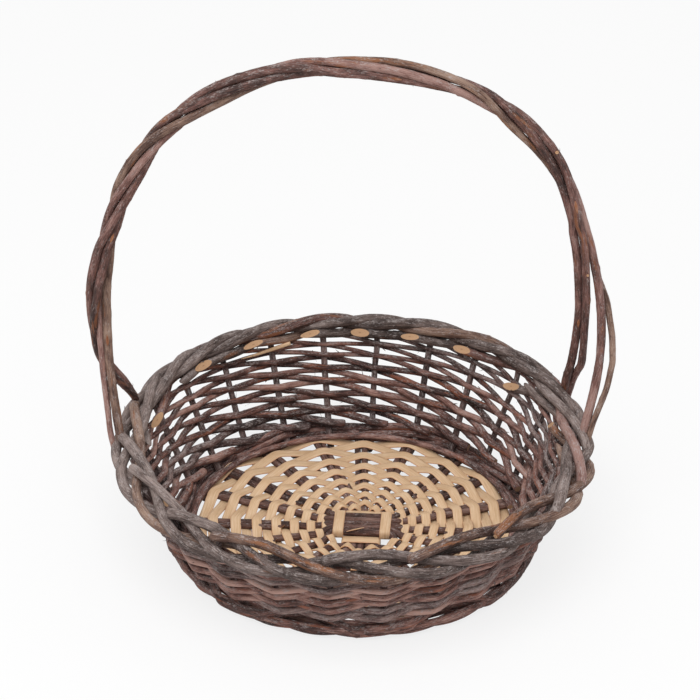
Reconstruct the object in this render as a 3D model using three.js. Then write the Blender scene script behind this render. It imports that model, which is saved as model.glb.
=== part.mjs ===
// A round wicker basket with an arched handle: crossed base sticks, a base woven from bamboo, stakes
// turned up into the wall, rods woven between the stakes, a plaited border and a handle of twisted rods.
// Millimetres, +Z up. The origin is on the floor, in the middle of the basket. The handle's arch runs
// along X.
import * as THREE from "three";

// Space left between pieces that touch on the real basket.
const CLEARANCE = 0.3;

// Base sticks: half of them are laid across the other half, and all are fanned out to even spokes. They
// cross a little off the basket's middle.
const BASE_STICKS = 10;
const BASE_STICK_DIAMETER = 4.6;
const BASE_STICK_REACH = 114.5;
const BASE_TURN = -4;
const FAN_RADIUS = 31;
const CROSSING_X = 6.5;
const CROSSING_Y = -2;

// Bamboo strips woven over and under the spokes, whose ends stay bare.
const BASE_STRIP_WIDTH = 5.4;
const BASE_STRIP_THICKNESS = 1;
const BASE_STRIP_GAP = 0.8;
const BASE_WEAVE_INNER_RADIUS = 34.5;
const BARE_SPOKE_END = 11;
const BASE_WEAVE_OUTER_RADIUS = BASE_STICK_REACH - BARE_SPOKE_END;

// Bamboo lashings round the crossed sticks.
const LASHING_WIDTH = 5.2;
const LASHING_THICKNESS = 1;

// Stakes: the uprights of the wall. Their toes lie under the spokes, and their tops are laid down into
// the border. A top leans over by STAKE_TURN, in stakes, and by STAKE_TOP_OUT and STAKE_TOP_RISE. The
// wall starts just past the spokes' ends.
const STAKES = 24;
const STAKE_DIAMETER = 4.2;
const STAKE_PHASE = 8.5;
const STAKE_TURN = 0.12;
const STAKE_TOP_OUT = 0.2;
const STAKE_TOP_RISE = 0.3;
const TOE_LENGTH = 7;
const SPOKE_END_GAP = 1;
const WALL_FOOT_RADIUS = BASE_STICK_REACH + SPOKE_END_GAP;
const WALL_FLARE = 0.455;

// The wall's rods: a round on the floor, two rounds of wale and then tapering rods that climb the wall.
// ROW_EASE is the slack between rows. A round's two ends stop short of each other by ROUND_GAP, in stakes.
const FOOT_ROUND_DIAMETER = 5;
const FOOT_ROUND_EASE = 0.4;
const WALE_DIAMETER = 4.6;
const WALE_ROUNDS = 2;
const WALE_DROP = 1.6;
const ROW_EASE = 0.2;
const ROUND_GAP = 0.1;
const WEAVER_BUTT_DIAMETER = 4.4;
const WEAVER_TIP_DIAMETER = 3.8;
const STAKES_PER_WEAVER = 3;
const SPACE_UNDER_BORDER = 1.9;

// The border's strands, one from each stake, plaited round the rim. The eases spread them upwards and
// outwards by a share, so that they clear each other where they cross aslant.
const BORDER_HEIGHT = 75.5;
const BORDER_ROD_DIAMETER = 6.4;
const STRAND_EASE_UP = 1.035;
const STRAND_EASE_OUT = 1.235;

// The handle: rods twisted together over the basket, with two feet at each side. Its arch is squared by
// HANDLE_SQUARENESS and spans a little less at the right, and its rods stand apart by the share
// BUNDLE_EASE.
const HANDLE_HEIGHT = 338;
const HANDLE_LEFT_SPAN = 168;
const HANDLE_RIGHT_SPAN = 160;
const HANDLE_SHOULDER_HEIGHT = 130;
const HANDLE_SET_BACK = 30;
const HANDLE_LEAN = -2.5;
const HANDLE_SQUARENESS = 2.5;
const HANDLE_ROD_DIAMETER = 6;
const HANDLE_ROD_FOOT_DIAMETER = 4;
const HANDLE_TWISTS = -2.19;
const BUNDLE_START = 0.085;
const BUNDLE_END = 0.865;
const BUNDLE_PHASE = -29;
const BUNDLE_EASE = 1.06;
const FRONT_FOOT_ANGLES = [173.5, -6.5];
const REAR_FOOT_ANGLES = [158.5, 23.5];

// How finely the rods are drawn.
const ROD_SIDES = 6;
const HANDLE_STEPS = 36;

const bark = new THREE.MeshStandardMaterial({ color: 0x5b4238, roughness: 0.85, metalness: 0 });
const darkBark = new THREE.MeshStandardMaterial({ color: 0x4a3129, roughness: 0.85, metalness: 0 });
const greyBark = new THREE.MeshStandardMaterial({ color: 0x6e5d52, roughness: 0.9, metalness: 0 });
const redBark = new THREE.MeshStandardMaterial({ color: 0x6a4536, roughness: 0.8, metalness: 0 });
const bamboo = new THREE.MeshStandardMaterial({ color: 0xd2ab78, roughness: 0.6, metalness: 0 });

const basket = new THREE.Group();

const radians = THREE.MathUtils.degToRad;
const mix = THREE.MathUtils.lerp;
const UP = new THREE.Vector3(0, 0, 1);

// A point at an angle round the basket, at a radius and a height.
function around(angle, radius, height) {
  const turn = radians(angle);
  return new THREE.Vector3(radius * Math.cos(turn), radius * Math.sin(turn), height);
}

// A path for ExtrudeGeometry with one section at each station. A station has a point and a size, and may
// have an across, the direction that the section's first axis keeps.
class StationPath extends THREE.Curve {
  constructor(stations) {
    super();
    this.stations = stations;
  }

  getPoint(share, target = new THREE.Vector3()) {
    const place = share * (this.stations.length - 1);
    const first = Math.min(Math.floor(place), this.stations.length - 2);
    const { point } = this.stations[first];
    return target.lerpVectors(point, this.stations[first + 1].point, place - first);
  }

  getSpacedPoints() {
    return this.stations.map((station) => station.point.clone());
  }

  // The direction through a station: along the bisector of the stretches before and after it.
  directionAt(index) {
    const { stations } = this;
    const here = stations[index].point;
    const direction = new THREE.Vector3();
    if (index > 0) direction.add(here.clone().sub(stations[index - 1].point).normalize());
    if (index < stations.length - 1) {
      direction.add(stations[index + 1].point.clone().sub(here).normalize());
    }
    return direction.normalize();
  }

  computeFrenetFrames() {
    const tangents = this.stations.map((station, index) => this.directionAt(index));
    const normals = [];
    const binormals = [];
    let across = this.stations[0].across ?? UP;
    if (Math.abs(across.dot(tangents[0])) > 0.9) across = new THREE.Vector3(1, 0, 0);
    this.stations.forEach((station, index) => {
      const tangent = tangents[index];
      const wanted = (station.across ?? across).clone();
      across = wanted.addScaledVector(tangent, -wanted.dot(tangent)).normalize();
      normals.push(across.clone().multiplyScalar(station.size));
      binormals.push(new THREE.Vector3().crossVectors(tangent, across).multiplyScalar(station.size));
    });
    return { tangents, normals, binormals };
  }
}

function addMesh(name, geometry, material) {
  const mesh = new THREE.Mesh(geometry, material);
  mesh.name = name;
  basket.add(mesh);
  return mesh;
}

// A solid with a section carried through stations. The section is drawn for a size of 1.
function sweep(section, stations) {
  return new THREE.ExtrudeGeometry(section, {
    steps: stations.length - 1,
    extrudePath: new StationPath(stations),
    bevelEnabled: false,
  });
}

// A regular polygon of radius 1 with a flat side across its second axis.
function roundSection() {
  const corners = Array.from({ length: ROD_SIDES }, (_, corner) => {
    const turn = (corner / ROD_SIDES) * 2 * Math.PI;
    return new THREE.Vector2(Math.cos(turn), Math.sin(turn));
  });
  return new THREE.Shape(corners);
}

function stripSection(width, thickness) {
  const shape = new THREE.Shape();
  shape.moveTo(-width / 2, -thickness / 2);
  shape.lineTo(width / 2, -thickness / 2);
  shape.lineTo(width / 2, thickness / 2);
  shape.lineTo(-width / 2, thickness / 2);
  shape.closePath();
  return shape;
}

// A rod through points, each with a diameter.
function rod(name, stations, material) {
  const sized = stations.map(({ point, diameter, across }) => ({ point, size: diameter / 2, across }));
  return addMesh(name, sweep(roundSection(), sized), material);
}

// How far a rod stands off a row of posts that it passes on alternate sides, to clear each by reach.
function weaveOffset(reach, spacing) {
  return (reach * spacing) / Math.sqrt(spacing * spacing - 4 * reach * reach);
}

// The distance between neighbouring posts round a circle.
function postSpacing(radius, posts) {
  return 2 * radius * Math.sin(Math.PI / posts);
}

// Heights of the base, from the floor up: the stakes' toes, then the spokes on them.
const TOE_HEIGHT = CLEARANCE + STAKE_DIAMETER / 2;
const SPOKE_HEIGHT = TOE_HEIGHT + (STAKE_DIAMETER + BASE_STICK_DIAMETER) / 2 + CLEARANCE;
const SPOKES = 2 * BASE_STICKS;
const SPOKE_ANGLE = 360 / SPOKES;
const STICKS_EACH_WAY = BASE_STICKS / 2;
const STICK_PITCH = BASE_STICK_DIAMETER + CLEARANCE;
const CROSSING_HALF_WIDTH = (STICKS_EACH_WAY * STICK_PITCH) / 2 + CLEARANCE;
const LASHING_START = CROSSING_HALF_WIDTH + LASHING_THICKNESS + CLEARANCE;
const LASHING_END = LASHING_START + LASHING_WIDTH;

// A point on the base, at an angle, a radius and a height: round the sticks' crossing near it, and round
// the basket's middle at the spokes' ends.
function aroundBase(angle, radius, height) {
  const share = Math.min((BASE_STICK_REACH - radius) / (BASE_STICK_REACH - FAN_RADIUS), 1);
  const middle = new THREE.Vector3(CROSSING_X, CROSSING_Y, 0).multiplyScalar(share);
  return around(angle, radius, height).add(middle);
}

// One base stick, straight where the sticks cross and are lashed, and fanned out on both sides.
function addBaseStick(index) {
  const upper = index < STICKS_EACH_WAY;
  const place = (index % STICKS_EACH_WAY) - (STICKS_EACH_WAY - 1) / 2;
  const level = SPOKE_HEIGHT + (upper ? 1 : -1) * (STICK_PITCH / 2);
  const turn = upper ? BASE_TURN : BASE_TURN + 90;
  const straight = LASHING_END + BASE_STICK_DIAMETER / 2;
  const half = (back) => {
    const fan = back ? 180 - place * SPOKE_ANGLE : place * SPOKE_ANGLE;
    const lashed = Math.atan2(place * STICK_PITCH, back ? -straight : straight);
    const lashedAngle = turn + THREE.MathUtils.radToDeg(lashed);
    return [
      aroundBase(lashedAngle, Math.hypot(place * STICK_PITCH, straight), level),
      aroundBase(turn + fan, FAN_RADIUS, SPOKE_HEIGHT),
      aroundBase(turn + fan, BASE_STICK_REACH, SPOKE_HEIGHT),
    ];
  };
  const points = [...half(true).reverse(), ...half(false)];
  const stations = points.map((point) => ({ point, diameter: BASE_STICK_DIAMETER }));
  rod(`base_stick_${String(index + 1).padStart(2, "0")}`, stations, darkBark);
}

// One of the two bamboo strips that chase each other round the base, a row apart and on opposite sides
// of the spokes.
function addBaseStrip(index) {
  const rowPitch = BASE_STRIP_WIDTH + BASE_STRIP_GAP;
  const widest = (BASE_WEAVE_OUTER_RADIUS - BASE_WEAVE_INNER_RADIUS) / rowPitch;
  const reach = (BASE_STICK_DIAMETER + BASE_STRIP_THICKNESS) / 2 + CLEARANCE;
  const stations = [];
  for (let step = 0; index + (2 * step) / SPOKES <= widest; step += 1) {
    const radius = BASE_WEAVE_INNER_RADIUS + rowPitch * (index + (2 * step) / SPOKES);
    const side = (step + index) % 2 === 0 ? 1 : -1;
    const offset = weaveOffset(reach, postSpacing(radius, SPOKES));
    const angle = BASE_TURN + step * SPOKE_ANGLE;
    stations.push({
      point: aroundBase(angle, radius, SPOKE_HEIGHT + side * offset),
      across: around(angle, 1, 0),
      size: 1,
    });
  }
  const section = stripSection(BASE_STRIP_WIDTH, BASE_STRIP_THICKNESS);
  addMesh(`base_strip_${index + 1}`, sweep(section, stations), bamboo);
}

// A bamboo lashing: a flat band round the upper or the lower sticks, just outside the crossing.
function addLashing(name, quarter) {
  const width = 2 * CROSSING_HALF_WIDTH;
  const height = BASE_STICK_DIAMETER + 2 * CLEARANCE;
  const outline = stripSection(width + 2 * LASHING_THICKNESS, height + 2 * LASHING_THICKNESS);
  outline.holes.push(stripSection(width, height));
  const band = new THREE.ExtrudeGeometry(outline, { depth: LASHING_WIDTH, bevelEnabled: false });
  band.rotateX(Math.PI / 2);
  band.rotateZ(Math.PI / 2);
  const mesh = addMesh(name, band, bamboo);
  const level = SPOKE_HEIGHT + (quarter % 2 === 0 ? 1 : -1) * (STICK_PITCH / 2);
  mesh.position.copy(aroundBase(BASE_TURN + quarter * 90, LASHING_START, level));
  mesh.rotation.z = radians(BASE_TURN + quarter * 90);
}

// The wall: its stakes lean outwards as they rise.
const WALL_LEAN = Math.atan(WALL_FLARE);

function wallRadius(height) {
  return WALL_FOOT_RADIUS + WALL_FLARE * height;
}

function stakeAngle(index) {
  return STAKE_PHASE + (index * 360) / STAKES;
}

// A point off the stakes' own surface at a height on it: positive is outside the wall.
function offWall(angle, height, offset) {
  const radius = wallRadius(height) + offset * Math.cos(WALL_LEAN);
  return around(angle, radius, height - offset * Math.sin(WALL_LEAN));
}

// The stretch of a stake, or of a handle rod in its place, from its toe up the wall into the border.
function uprightStations(angle, diameter) {
  const toe = wallRadius(TOE_HEIGHT) - STAKE_DIAMETER / 2;
  const places = [
    [toe - TOE_LENGTH, TOE_HEIGHT],
    [toe, TOE_HEIGHT],
    [wallRadius(TOE_HEIGHT + STAKE_DIAMETER / 2), TOE_HEIGHT + STAKE_DIAMETER / 2],
    [wallRadius(BORDER_HEIGHT), BORDER_HEIGHT],
  ];
  return places.map(([radius, height]) => ({ point: around(angle, radius, height), diameter }));
}

// The border's strands: each starts on top of the rim's outer edge, crosses over to the inside, dips
// through to the outside under its neighbours, and ends low inside. A station gives the stakes passed,
// how far outwards and how far up. The stake's own top comes up inside the one place and under the other
// place that have names.
const STRAND_PITCH = BORDER_ROD_DIAMETER * STRAND_EASE_UP + CLEARANCE;
const STRAND_REACH = ((BORDER_ROD_DIAMETER + STAKE_DIAMETER) / 2 + CLEARANCE) * STRAND_EASE_OUT;
const STRAND_OVER = [1, -0.13, 1.2];
const STRAND_OUTSIDE = [3, 1.06, 0.09];
const STRAND_ROUTE = [
  [0.35, 1.49, 1.17],
  [0.75, 0.46, 1.2],
  STRAND_OVER,
  [1.5, -0.8, 0.93],
  [2, -0.86, 0.19],
  [2.5, -0.07, -0.03],
  STRAND_OUTSIDE,
  [3.5, 1.57, -0.3],
  [4, 1.23, -0.96],
  [4.5, -0.03, -1.03],
  [5, -1.29, -0.75],
  [5.35, -1.39, -0.7],
];

// A place in the border's section, at an angle round the rim.
function inBorder(angle, outwards, upwards) {
  return around(angle, wallRadius(BORDER_HEIGHT) + outwards, BORDER_HEIGHT + upwards);
}

function strandPoint(stakePlace, outwards, upwards) {
  return inBorder(stakeAngle(stakePlace), outwards * STRAND_REACH, upwards * STRAND_PITCH);
}

// The way out of the border beside a stake's top, halfway between the strand over it and the strand
// outside it.
function borderExit() {
  const [, overOut, overUp] = STRAND_OVER;
  const [, outsideOut, outsideUp] = STRAND_OUTSIDE;
  const runOut = (overUp - outsideUp) * STRAND_PITCH;
  const runUp = (outsideOut - overOut) * STRAND_REACH;
  return {
    outwards: ((overOut + outsideOut) / 2) * STRAND_REACH,
    upwards: ((overUp + outsideUp) / 2) * STRAND_PITCH,
    along: new THREE.Vector2(runOut, runUp).normalize(),
  };
}

// A rod's stations along a route: each place in it is the stakes passed, how far outwards and how far up.
function routeStations(stakePlace, route, diameter) {
  return route.map(([passed, outwards, upwards]) => ({
    point: strandPoint(stakePlace + passed, outwards, upwards),
    diameter,
  }));
}

// A stake and the border strand that it becomes, or the strand alone where a handle rod takes the
// stake's place.
function addStake(index, footTaken) {
  const name = String(index + 1).padStart(2, "0");
  const strand = routeStations(index, STRAND_ROUTE, BORDER_ROD_DIAMETER);
  if (footTaken) {
    rod(`border_strand_${name}`, strand, greyBark);
    return;
  }
  const exit = borderExit();
  const topOut = exit.outwards + STAKE_TOP_OUT;
  const topUp = exit.upwards + STAKE_TOP_RISE;
  const top = { point: inBorder(stakeAngle(index + STAKE_TURN), topOut, topUp), diameter: STAKE_DIAMETER };
  const upright = uprightStations(stakeAngle(index), STAKE_DIAMETER);
  rod(`stake_${name}`, [...upright, top, ...strand], greyBark);
}

// The round on the floor, outside the stakes. It stands on a flat side.
function addFootRound() {
  const height = (FOOT_ROUND_DIAMETER / 2) * Math.cos(Math.PI / ROD_SIDES);
  const offset = (STAKE_DIAMETER + FOOT_ROUND_DIAMETER) / 2 + CLEARANCE;
  const radius = wallRadius(height) + offset / Math.cos(Math.PI / STAKES) + FOOT_ROUND_EASE;
  const stations = [];
  for (let step = 0; step <= STAKES; step += 1) {
    const angle = stakeAngle(Math.min(step, STAKES - ROUND_GAP));
    const across = around(angle, 1, 0);
    stations.push({ point: around(angle, radius, height), across, diameter: FOOT_ROUND_DIAMETER });
  }
  rod("foot_round", stations, bark);
}

// Heights on the wall's surface where its rounds begin and where they must stop under the border.
const WALE_START = SPOKE_HEIGHT + (BASE_STICK_DIAMETER + WALE_DIAMETER) / 2 - WALE_DROP;
const ROUND_PITCH = (WALE_DIAMETER + CLEARANCE) * Math.cos(WALL_LEAN) + ROW_EASE;
const WEAVE_START = WALE_START + WALE_ROUNDS * ROUND_PITCH;
const BORDER_FOOT = Math.min(...STRAND_ROUTE.map(([, , upwards]) => upwards)) * STRAND_PITCH;
const BORDER_UNDERSIDE = BORDER_HEIGHT + BORDER_FOOT - BORDER_ROD_DIAMETER / 2;
const WEAVE_END = BORDER_UNDERSIDE - WEAVER_TIP_DIAMETER / 2 - SPACE_UNDER_BORDER;
const LAYER_PITCH = (WEAVER_BUTT_DIAMETER + CLEARANCE) * Math.cos(WALL_LEAN) + ROW_EASE;
const LAYERS = Math.floor((WEAVE_END - WEAVE_START) / LAYER_PITCH);

// A rod's station at a stake: outside or inside it, at a height on the wall.
function wovenStation(stakePlace, height, side, diameter) {
  const reach = (STAKE_DIAMETER + diameter) / 2 + CLEARANCE;
  const offset = weaveOffset(reach, postSpacing(wallRadius(height), STAKES));
  return { point: offWall(stakeAngle(stakePlace), height, side * offset), diameter };
}

// A level round of wale, in front of and behind the stakes by turns.
function addWale(index) {
  const height = WALE_START + index * ROUND_PITCH;
  const stations = [];
  for (let step = 0; step <= STAKES; step += 1) {
    const side = (step + index) % 2 === 0 ? -1 : 1;
    stations.push(wovenStation(step, height, side, WALE_DIAMETER));
  }
  stations[STAKES].point.lerp(stations[STAKES - 1].point, ROUND_GAP);
  rod(`wale_${index + 1}`, stations, bark);
}

// A tapering rod of the wall: it starts inside one stake and climbs as it passes the next ones by turns
// in front and behind.
function addWeaver(index) {
  const passes = LAYERS * STAKES_PER_WEAVER;
  const stations = [];
  for (let step = 0; step <= passes; step += 1) {
    const height = WEAVE_START + (step / STAKES_PER_WEAVER) * LAYER_PITCH;
    const diameter = mix(WEAVER_BUTT_DIAMETER, WEAVER_TIP_DIAMETER, step / passes);
    const side = step % 2 === 0 ? -1 : 1;
    stations.push(wovenStation(index * STAKES_PER_WEAVER + step, height, side, diameter));
  }
  rod(`weaver_${String(index + 1).padStart(2, "0")}`, stations, index % 2 === 0 ? redBark : darkBark);
}

// The handle's bundle follows a squared arch. A share runs from 0 at its left foot to 1 at its right
// foot.
const HANDLE_RODS = 4;
const BUNDLE_PITCH = BUNDLE_EASE * (HANDLE_ROD_DIAMETER + CLEARANCE);
const BUNDLE_RADIUS = BUNDLE_PITCH / (2 * Math.sin(Math.PI / HANDLE_RODS));
const SHORT_SHARE = 0.005;

function archPoint(share) {
  const turn = Math.PI * (1 - share);
  const power = 2 / HANDLE_SQUARENESS;
  const across = Math.sign(Math.cos(turn)) * Math.abs(Math.cos(turn)) ** power;
  const rise = Math.sin(turn) ** power;
  const lean = HANDLE_LEAN * Math.sin(Math.PI * rise);
  const height = mix(HANDLE_SHOULDER_HEIGHT, HANDLE_HEIGHT, rise);
  const span = share < 0.5 ? HANDLE_LEFT_SPAN : HANDLE_RIGHT_SPAN;
  return new THREE.Vector3(span * across + lean, HANDLE_SET_BACK, height);
}

// One rod's stations in the twisted bundle, wound round the arch's centre line.
function bundleStations(index) {
  const stations = [];
  for (let step = 0; step <= HANDLE_STEPS; step += 1) {
    const share = mix(BUNDLE_START, BUNDLE_END, step / HANDLE_STEPS);
    const along = archPoint(share + SHORT_SHARE).sub(archPoint(share - SHORT_SHARE)).normalize();
    const outwards = new THREE.Vector3(-along.z, 0, along.x);
    const turns = (HANDLE_TWISTS * step) / HANDLE_STEPS - index / HANDLE_RODS;
    const phase = radians(BUNDLE_PHASE + 360 * turns);
    const point = archPoint(share).addScaledVector(outwards, BUNDLE_RADIUS * Math.cos(phase));
    point.y += BUNDLE_RADIUS * Math.sin(phase);
    stations.push({ point, diameter: HANDLE_ROD_DIAMETER });
  }
  return stations;
}

// The number of the stake nearest to an angle, counted on past a whole turn or back before the first.
function nearestStake(angle) {
  return Math.round(((angle - STAKE_PHASE) * STAKES) / 360);
}

// Two ways to hold a rod's end, from the tip upwards: tucked in before a stake's place under a strand,
// or down the wall in the stake's place.
const TUCKED_ROUTE = [
  [-0.3, 1.29, 0.42],
  [-0.3, 1.62, 1.37],
  [-0.27, 2, 2.9],
];

// Where a rod goes on from the border's exit: how far outwards and upwards along it, in strand pitches.
const THROUGH_ROUTE = [
  [0, 0],
  [1.25, 1.25],
  [1.9, 3.25],
];

function throughStations(stakePlace) {
  const { outwards, upwards, along } = borderExit();
  const angle = stakeAngle(stakePlace);
  const diameter = HANDLE_ROD_FOOT_DIAMETER;
  const exit = THROUGH_ROUTE.map(([out, up]) => {
    const outPlace = outwards + along.x * out * STRAND_PITCH;
    return { point: inBorder(angle, outPlace, upwards + along.y * up * STRAND_PITCH), diameter };
  });
  return [...uprightStations(angle, diameter), ...exit];
}

function tuckedStations(stakePlace) {
  return routeStations(stakePlace, TUCKED_ROUTE, HANDLE_ROD_FOOT_DIAMETER);
}

// A rod's way between the bundle and the border at one side: the share of the way down, the share of the
// side's span across, and how far back from the bundle's plane in rod diameters.
function legStations(span, bundleEnd, exit, way) {
  const diameter = (HANDLE_ROD_DIAMETER + HANDLE_ROD_FOOT_DIAMETER) / 2;
  return way.map(([down, across, back]) => {
    const point = new THREE.Vector3(span * across, 0, mix(bundleEnd.z, exit.z, down));
    point.y = HANDLE_SET_BACK + back * HANDLE_ROD_DIAMETER;
    return { point, diameter };
  });
}

const [LEFT_FRONT, RIGHT_FRONT] = FRONT_FOOT_ANGLES.map(nearestStake);
const [LEFT_REAR, RIGHT_REAR] = REAR_FOOT_ANGLES.map(nearestStake);
const FEET = [LEFT_FRONT, RIGHT_FRONT, LEFT_REAR, RIGHT_REAR].map((place) => (place + STAKES) % STAKES);

// Each handle rod: its left end and the way up from it, its right end and the way down to it.
const HANDLE_LEGS = [
  {
    left: throughStations(LEFT_REAR),
    leftWay: [[0.25, 1.052, -0.3], [0.5, 1.045, 0.5], [0.75, 1, 1.8]],
    right: tuckedStations(RIGHT_REAR),
    rightWay: [[0.2, 0.958, -0.65], [0.4, 0.976, -0.3], [0.6, 0.979, 0.15], [0.8, 0.977, 1.3]],
  },
  {
    left: tuckedStations(LEFT_FRONT),
    leftWay: [[0.25, 1.021, -0.9], [0.5, 1.05, -0.5], [0.75, 1.016, 0.7]],
    right: throughStations(RIGHT_REAR),
    rightWay: [[0.2, 0.922, 0.05], [0.4, 0.943, 0.3], [0.6, 0.948, 0.95], [0.8, 0.937, 2.1]],
  },
  {
    left: throughStations(LEFT_FRONT),
    leftWay: [[0.25, 0.983, 0], [0.5, 0.976, -0.25], [0.75, 0.972, -1.3]],
    right: throughStations(RIGHT_FRONT),
    rightWay: [[0.2, 1, 0.95], [0.4, 1.052, 0.75], [0.6, 1.085, -0.4], [0.8, 1.092, -2]],
  },
  {
    left: tuckedStations(LEFT_FRONT + 1),
    leftWay: [[0.25, 1.015, 0.8], [0.5, 1.008, 0.4], [0.75, 1.006, -2]],
    right: tuckedStations(RIGHT_FRONT + 1),
    rightWay: [[0.2, 0.995, -0.05], [0.4, 1.03, -0.15], [0.6, 1.044, -0.8], [0.8, 1.034, -2]],
  },
];

function addHandleRod(index) {
  const { left, leftWay, right, rightWay } = HANDLE_LEGS[index];
  const bundle = bundleStations(index);
  const leftLeg = legStations(-HANDLE_LEFT_SPAN, bundle[0].point, left.at(-1).point, leftWay);
  const rightLeg = legStations(HANDLE_RIGHT_SPAN, bundle.at(-1).point, right.at(-1).point, rightWay);
  const stations = [...left, ...leftLeg.reverse(), ...bundle, ...rightLeg, ...right.reverse()];
  rod(`handle_rod_${index + 1}`, stations, index % 2 === 0 ? bark : redBark);
}

for (let index = 0; index < BASE_STICKS; index += 1) addBaseStick(index);
addBaseStrip(0);
addBaseStrip(1);
["right", "rear", "left", "front"].forEach((side, quarter) => addLashing(`lashing_${side}`, quarter));
for (let index = 0; index < STAKES; index += 1) addStake(index, FEET.includes(index));
addFootRound();
for (let index = 0; index < WALE_ROUNDS; index += 1) addWale(index);
for (let index = 0; index < STAKES / STAKES_PER_WEAVER; index += 1) addWeaver(index);
for (let index = 0; index < HANDLE_RODS; index += 1) addHandleRod(index);

export default basket;
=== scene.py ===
"""Looks of a round wicker basket with an arched handle of twisted rods.

The basket is rebuilt rod by rod: crossed base sticks with bamboo woven through them, stakes with
tapering rods woven between them, a plaited border of separate thick rods and a twisted handle.
Sizes are in millimetres and are turned into metres where a mesh is made.
"""

from __future__ import annotations

import logging
from dataclasses import dataclass, field, fields, replace
from enum import Enum
from typing import ClassVar, Sequence

import bpy
import numpy as np
import numpy.typing as npt
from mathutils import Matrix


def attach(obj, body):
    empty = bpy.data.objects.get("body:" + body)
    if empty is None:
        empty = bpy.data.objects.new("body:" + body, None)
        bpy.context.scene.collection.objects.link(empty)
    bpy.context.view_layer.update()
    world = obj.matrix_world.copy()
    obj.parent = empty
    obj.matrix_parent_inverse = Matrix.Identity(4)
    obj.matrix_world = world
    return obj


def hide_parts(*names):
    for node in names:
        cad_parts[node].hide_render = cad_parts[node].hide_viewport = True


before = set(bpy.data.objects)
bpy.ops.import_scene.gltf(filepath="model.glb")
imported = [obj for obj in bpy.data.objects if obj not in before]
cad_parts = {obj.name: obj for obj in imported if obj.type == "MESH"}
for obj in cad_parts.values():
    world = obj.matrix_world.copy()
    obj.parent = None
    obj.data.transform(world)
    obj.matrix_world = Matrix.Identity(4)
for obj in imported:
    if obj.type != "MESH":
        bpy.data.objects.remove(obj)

Array = npt.NDArray[np.float64]
Value = Array | float
Pair = tuple[float, float]
Triple = tuple[float, float, float]
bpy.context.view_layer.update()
MM = 0.001
LOG = logging.getLogger("basket")
UP = (0.0, 0.0, 1.0)
ROD_GRAIN_GAP = 400.0
STRIP_GRAIN_GAP = 300.0


# Shapes as whole arrays


def around(angle: Value, radius: Value, height: Value) -> Array:
    """Points round the basket: radius times cosine, radius times sine, and the height.

    Args:
        angle: Degrees from +X towards +Y.
        radius: Distances from the middle.
        height: Heights above the floor.

    Returns:
        Points as rows.
    """
    turn, radius, height = np.broadcast_arrays(np.radians(angle), radius, height)
    return np.stack([radius * np.cos(turn), radius * np.sin(turn), height], axis=-1).astype(float)


def unit(vectors: Array) -> Array:
    """Vectors divided by their own lengths."""
    return vectors / np.maximum(np.linalg.norm(vectors, axis=-1, keepdims=True), 1e-9)


def square_to(along: Array, vectors: Array) -> Array:
    """Unit vectors square to a line's own: the vectors less their shares along it."""
    return unit(vectors - np.sum(vectors * along, axis=-1, keepdims=True) * along)


def outward(points: Array) -> Array:
    """The level direction away from the basket's middle at each point."""
    return unit(points[:, :3] * np.array([1.0, 1.0, 0.0]))


def run_along(rows: Array) -> Array:
    """Length along a line of points: the sum of the steps before each."""
    steps = np.linalg.norm(np.diff(rows[:, :3], axis=0), axis=1)
    return np.concatenate([[0.0], np.cumsum(steps)])


def bell(place: Array, middle: Value, width: Value) -> Array:
    """A bell: e to the power of minus the square of the distance in widths."""
    return np.exp(-(((place - middle) / width) ** 2))


def ease(value: Array) -> Array:
    """A smooth step: three times the square less twice the cube, held between 0 and 1."""
    held = np.clip(value, 0.0, 1.0)
    return held * held * (3.0 - 2.0 * held)


def wave(place: Array, gap: float, rng: np.random.Generator) -> Array:
    """A smooth random wave between -1 and 1: random knots blended by the smooth step.

    Args:
        place: Places along a rod.
        gap: Distance between the wave's random knots.
        rng: Source of the random knots.

    Returns:
        The wave at each place.
    """
    at = (place - place.min()) / gap
    knots = rng.uniform(-1.0, 1.0, int(at.max()) + 3)
    low = at.astype(int)
    share = ease(at - low)
    return knots[low] * (1.0 - share) + knots[low + 1] * share


def spline(control: Array, step: float) -> Array:
    """A smooth line through control rows, at equal steps of length.

    Args:
        control: Rows whose first three columns are a point; the others are carried along.
        step: Distance between the rows that come out.

    Returns:
        Rows on cubic pieces, whose slopes at the controls are those of the neighbours' parabola.
    """
    at = run_along(control)
    slope = np.gradient(control, at, axis=0)
    fine = np.linspace(0.0, at[-1], max(int(2.0 * at[-1] / step), 12))
    low = np.clip(np.searchsorted(at, fine, side="right") - 1, 0, len(at) - 2)
    span = (at[low + 1] - at[low])[:, None]
    share = (fine - at[low])[:, None] / span
    start, end = 1.0 - ease(share), ease(share)
    bend_in = span * share * (1.0 - share) ** 2
    bend_out = -span * share**2 * (1.0 - share)
    rows = start * control[low] + end * control[low + 1] + bend_in * slope[low] + bend_out * slope[low + 1]
    run = run_along(rows)
    even = np.linspace(0.0, run[-1], max(int(run[-1] / step), 4) + 1)
    return np.stack([np.interp(even, run, column) for column in rows.T], axis=1)


def course_of(points: Array, sizes: Value, step: float) -> Array:
    """A smooth course through points, with a radius or half width at each, at equal steps."""
    return spline(np.column_stack([points, np.broadcast_to(sizes, len(points))]), step)


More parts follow.
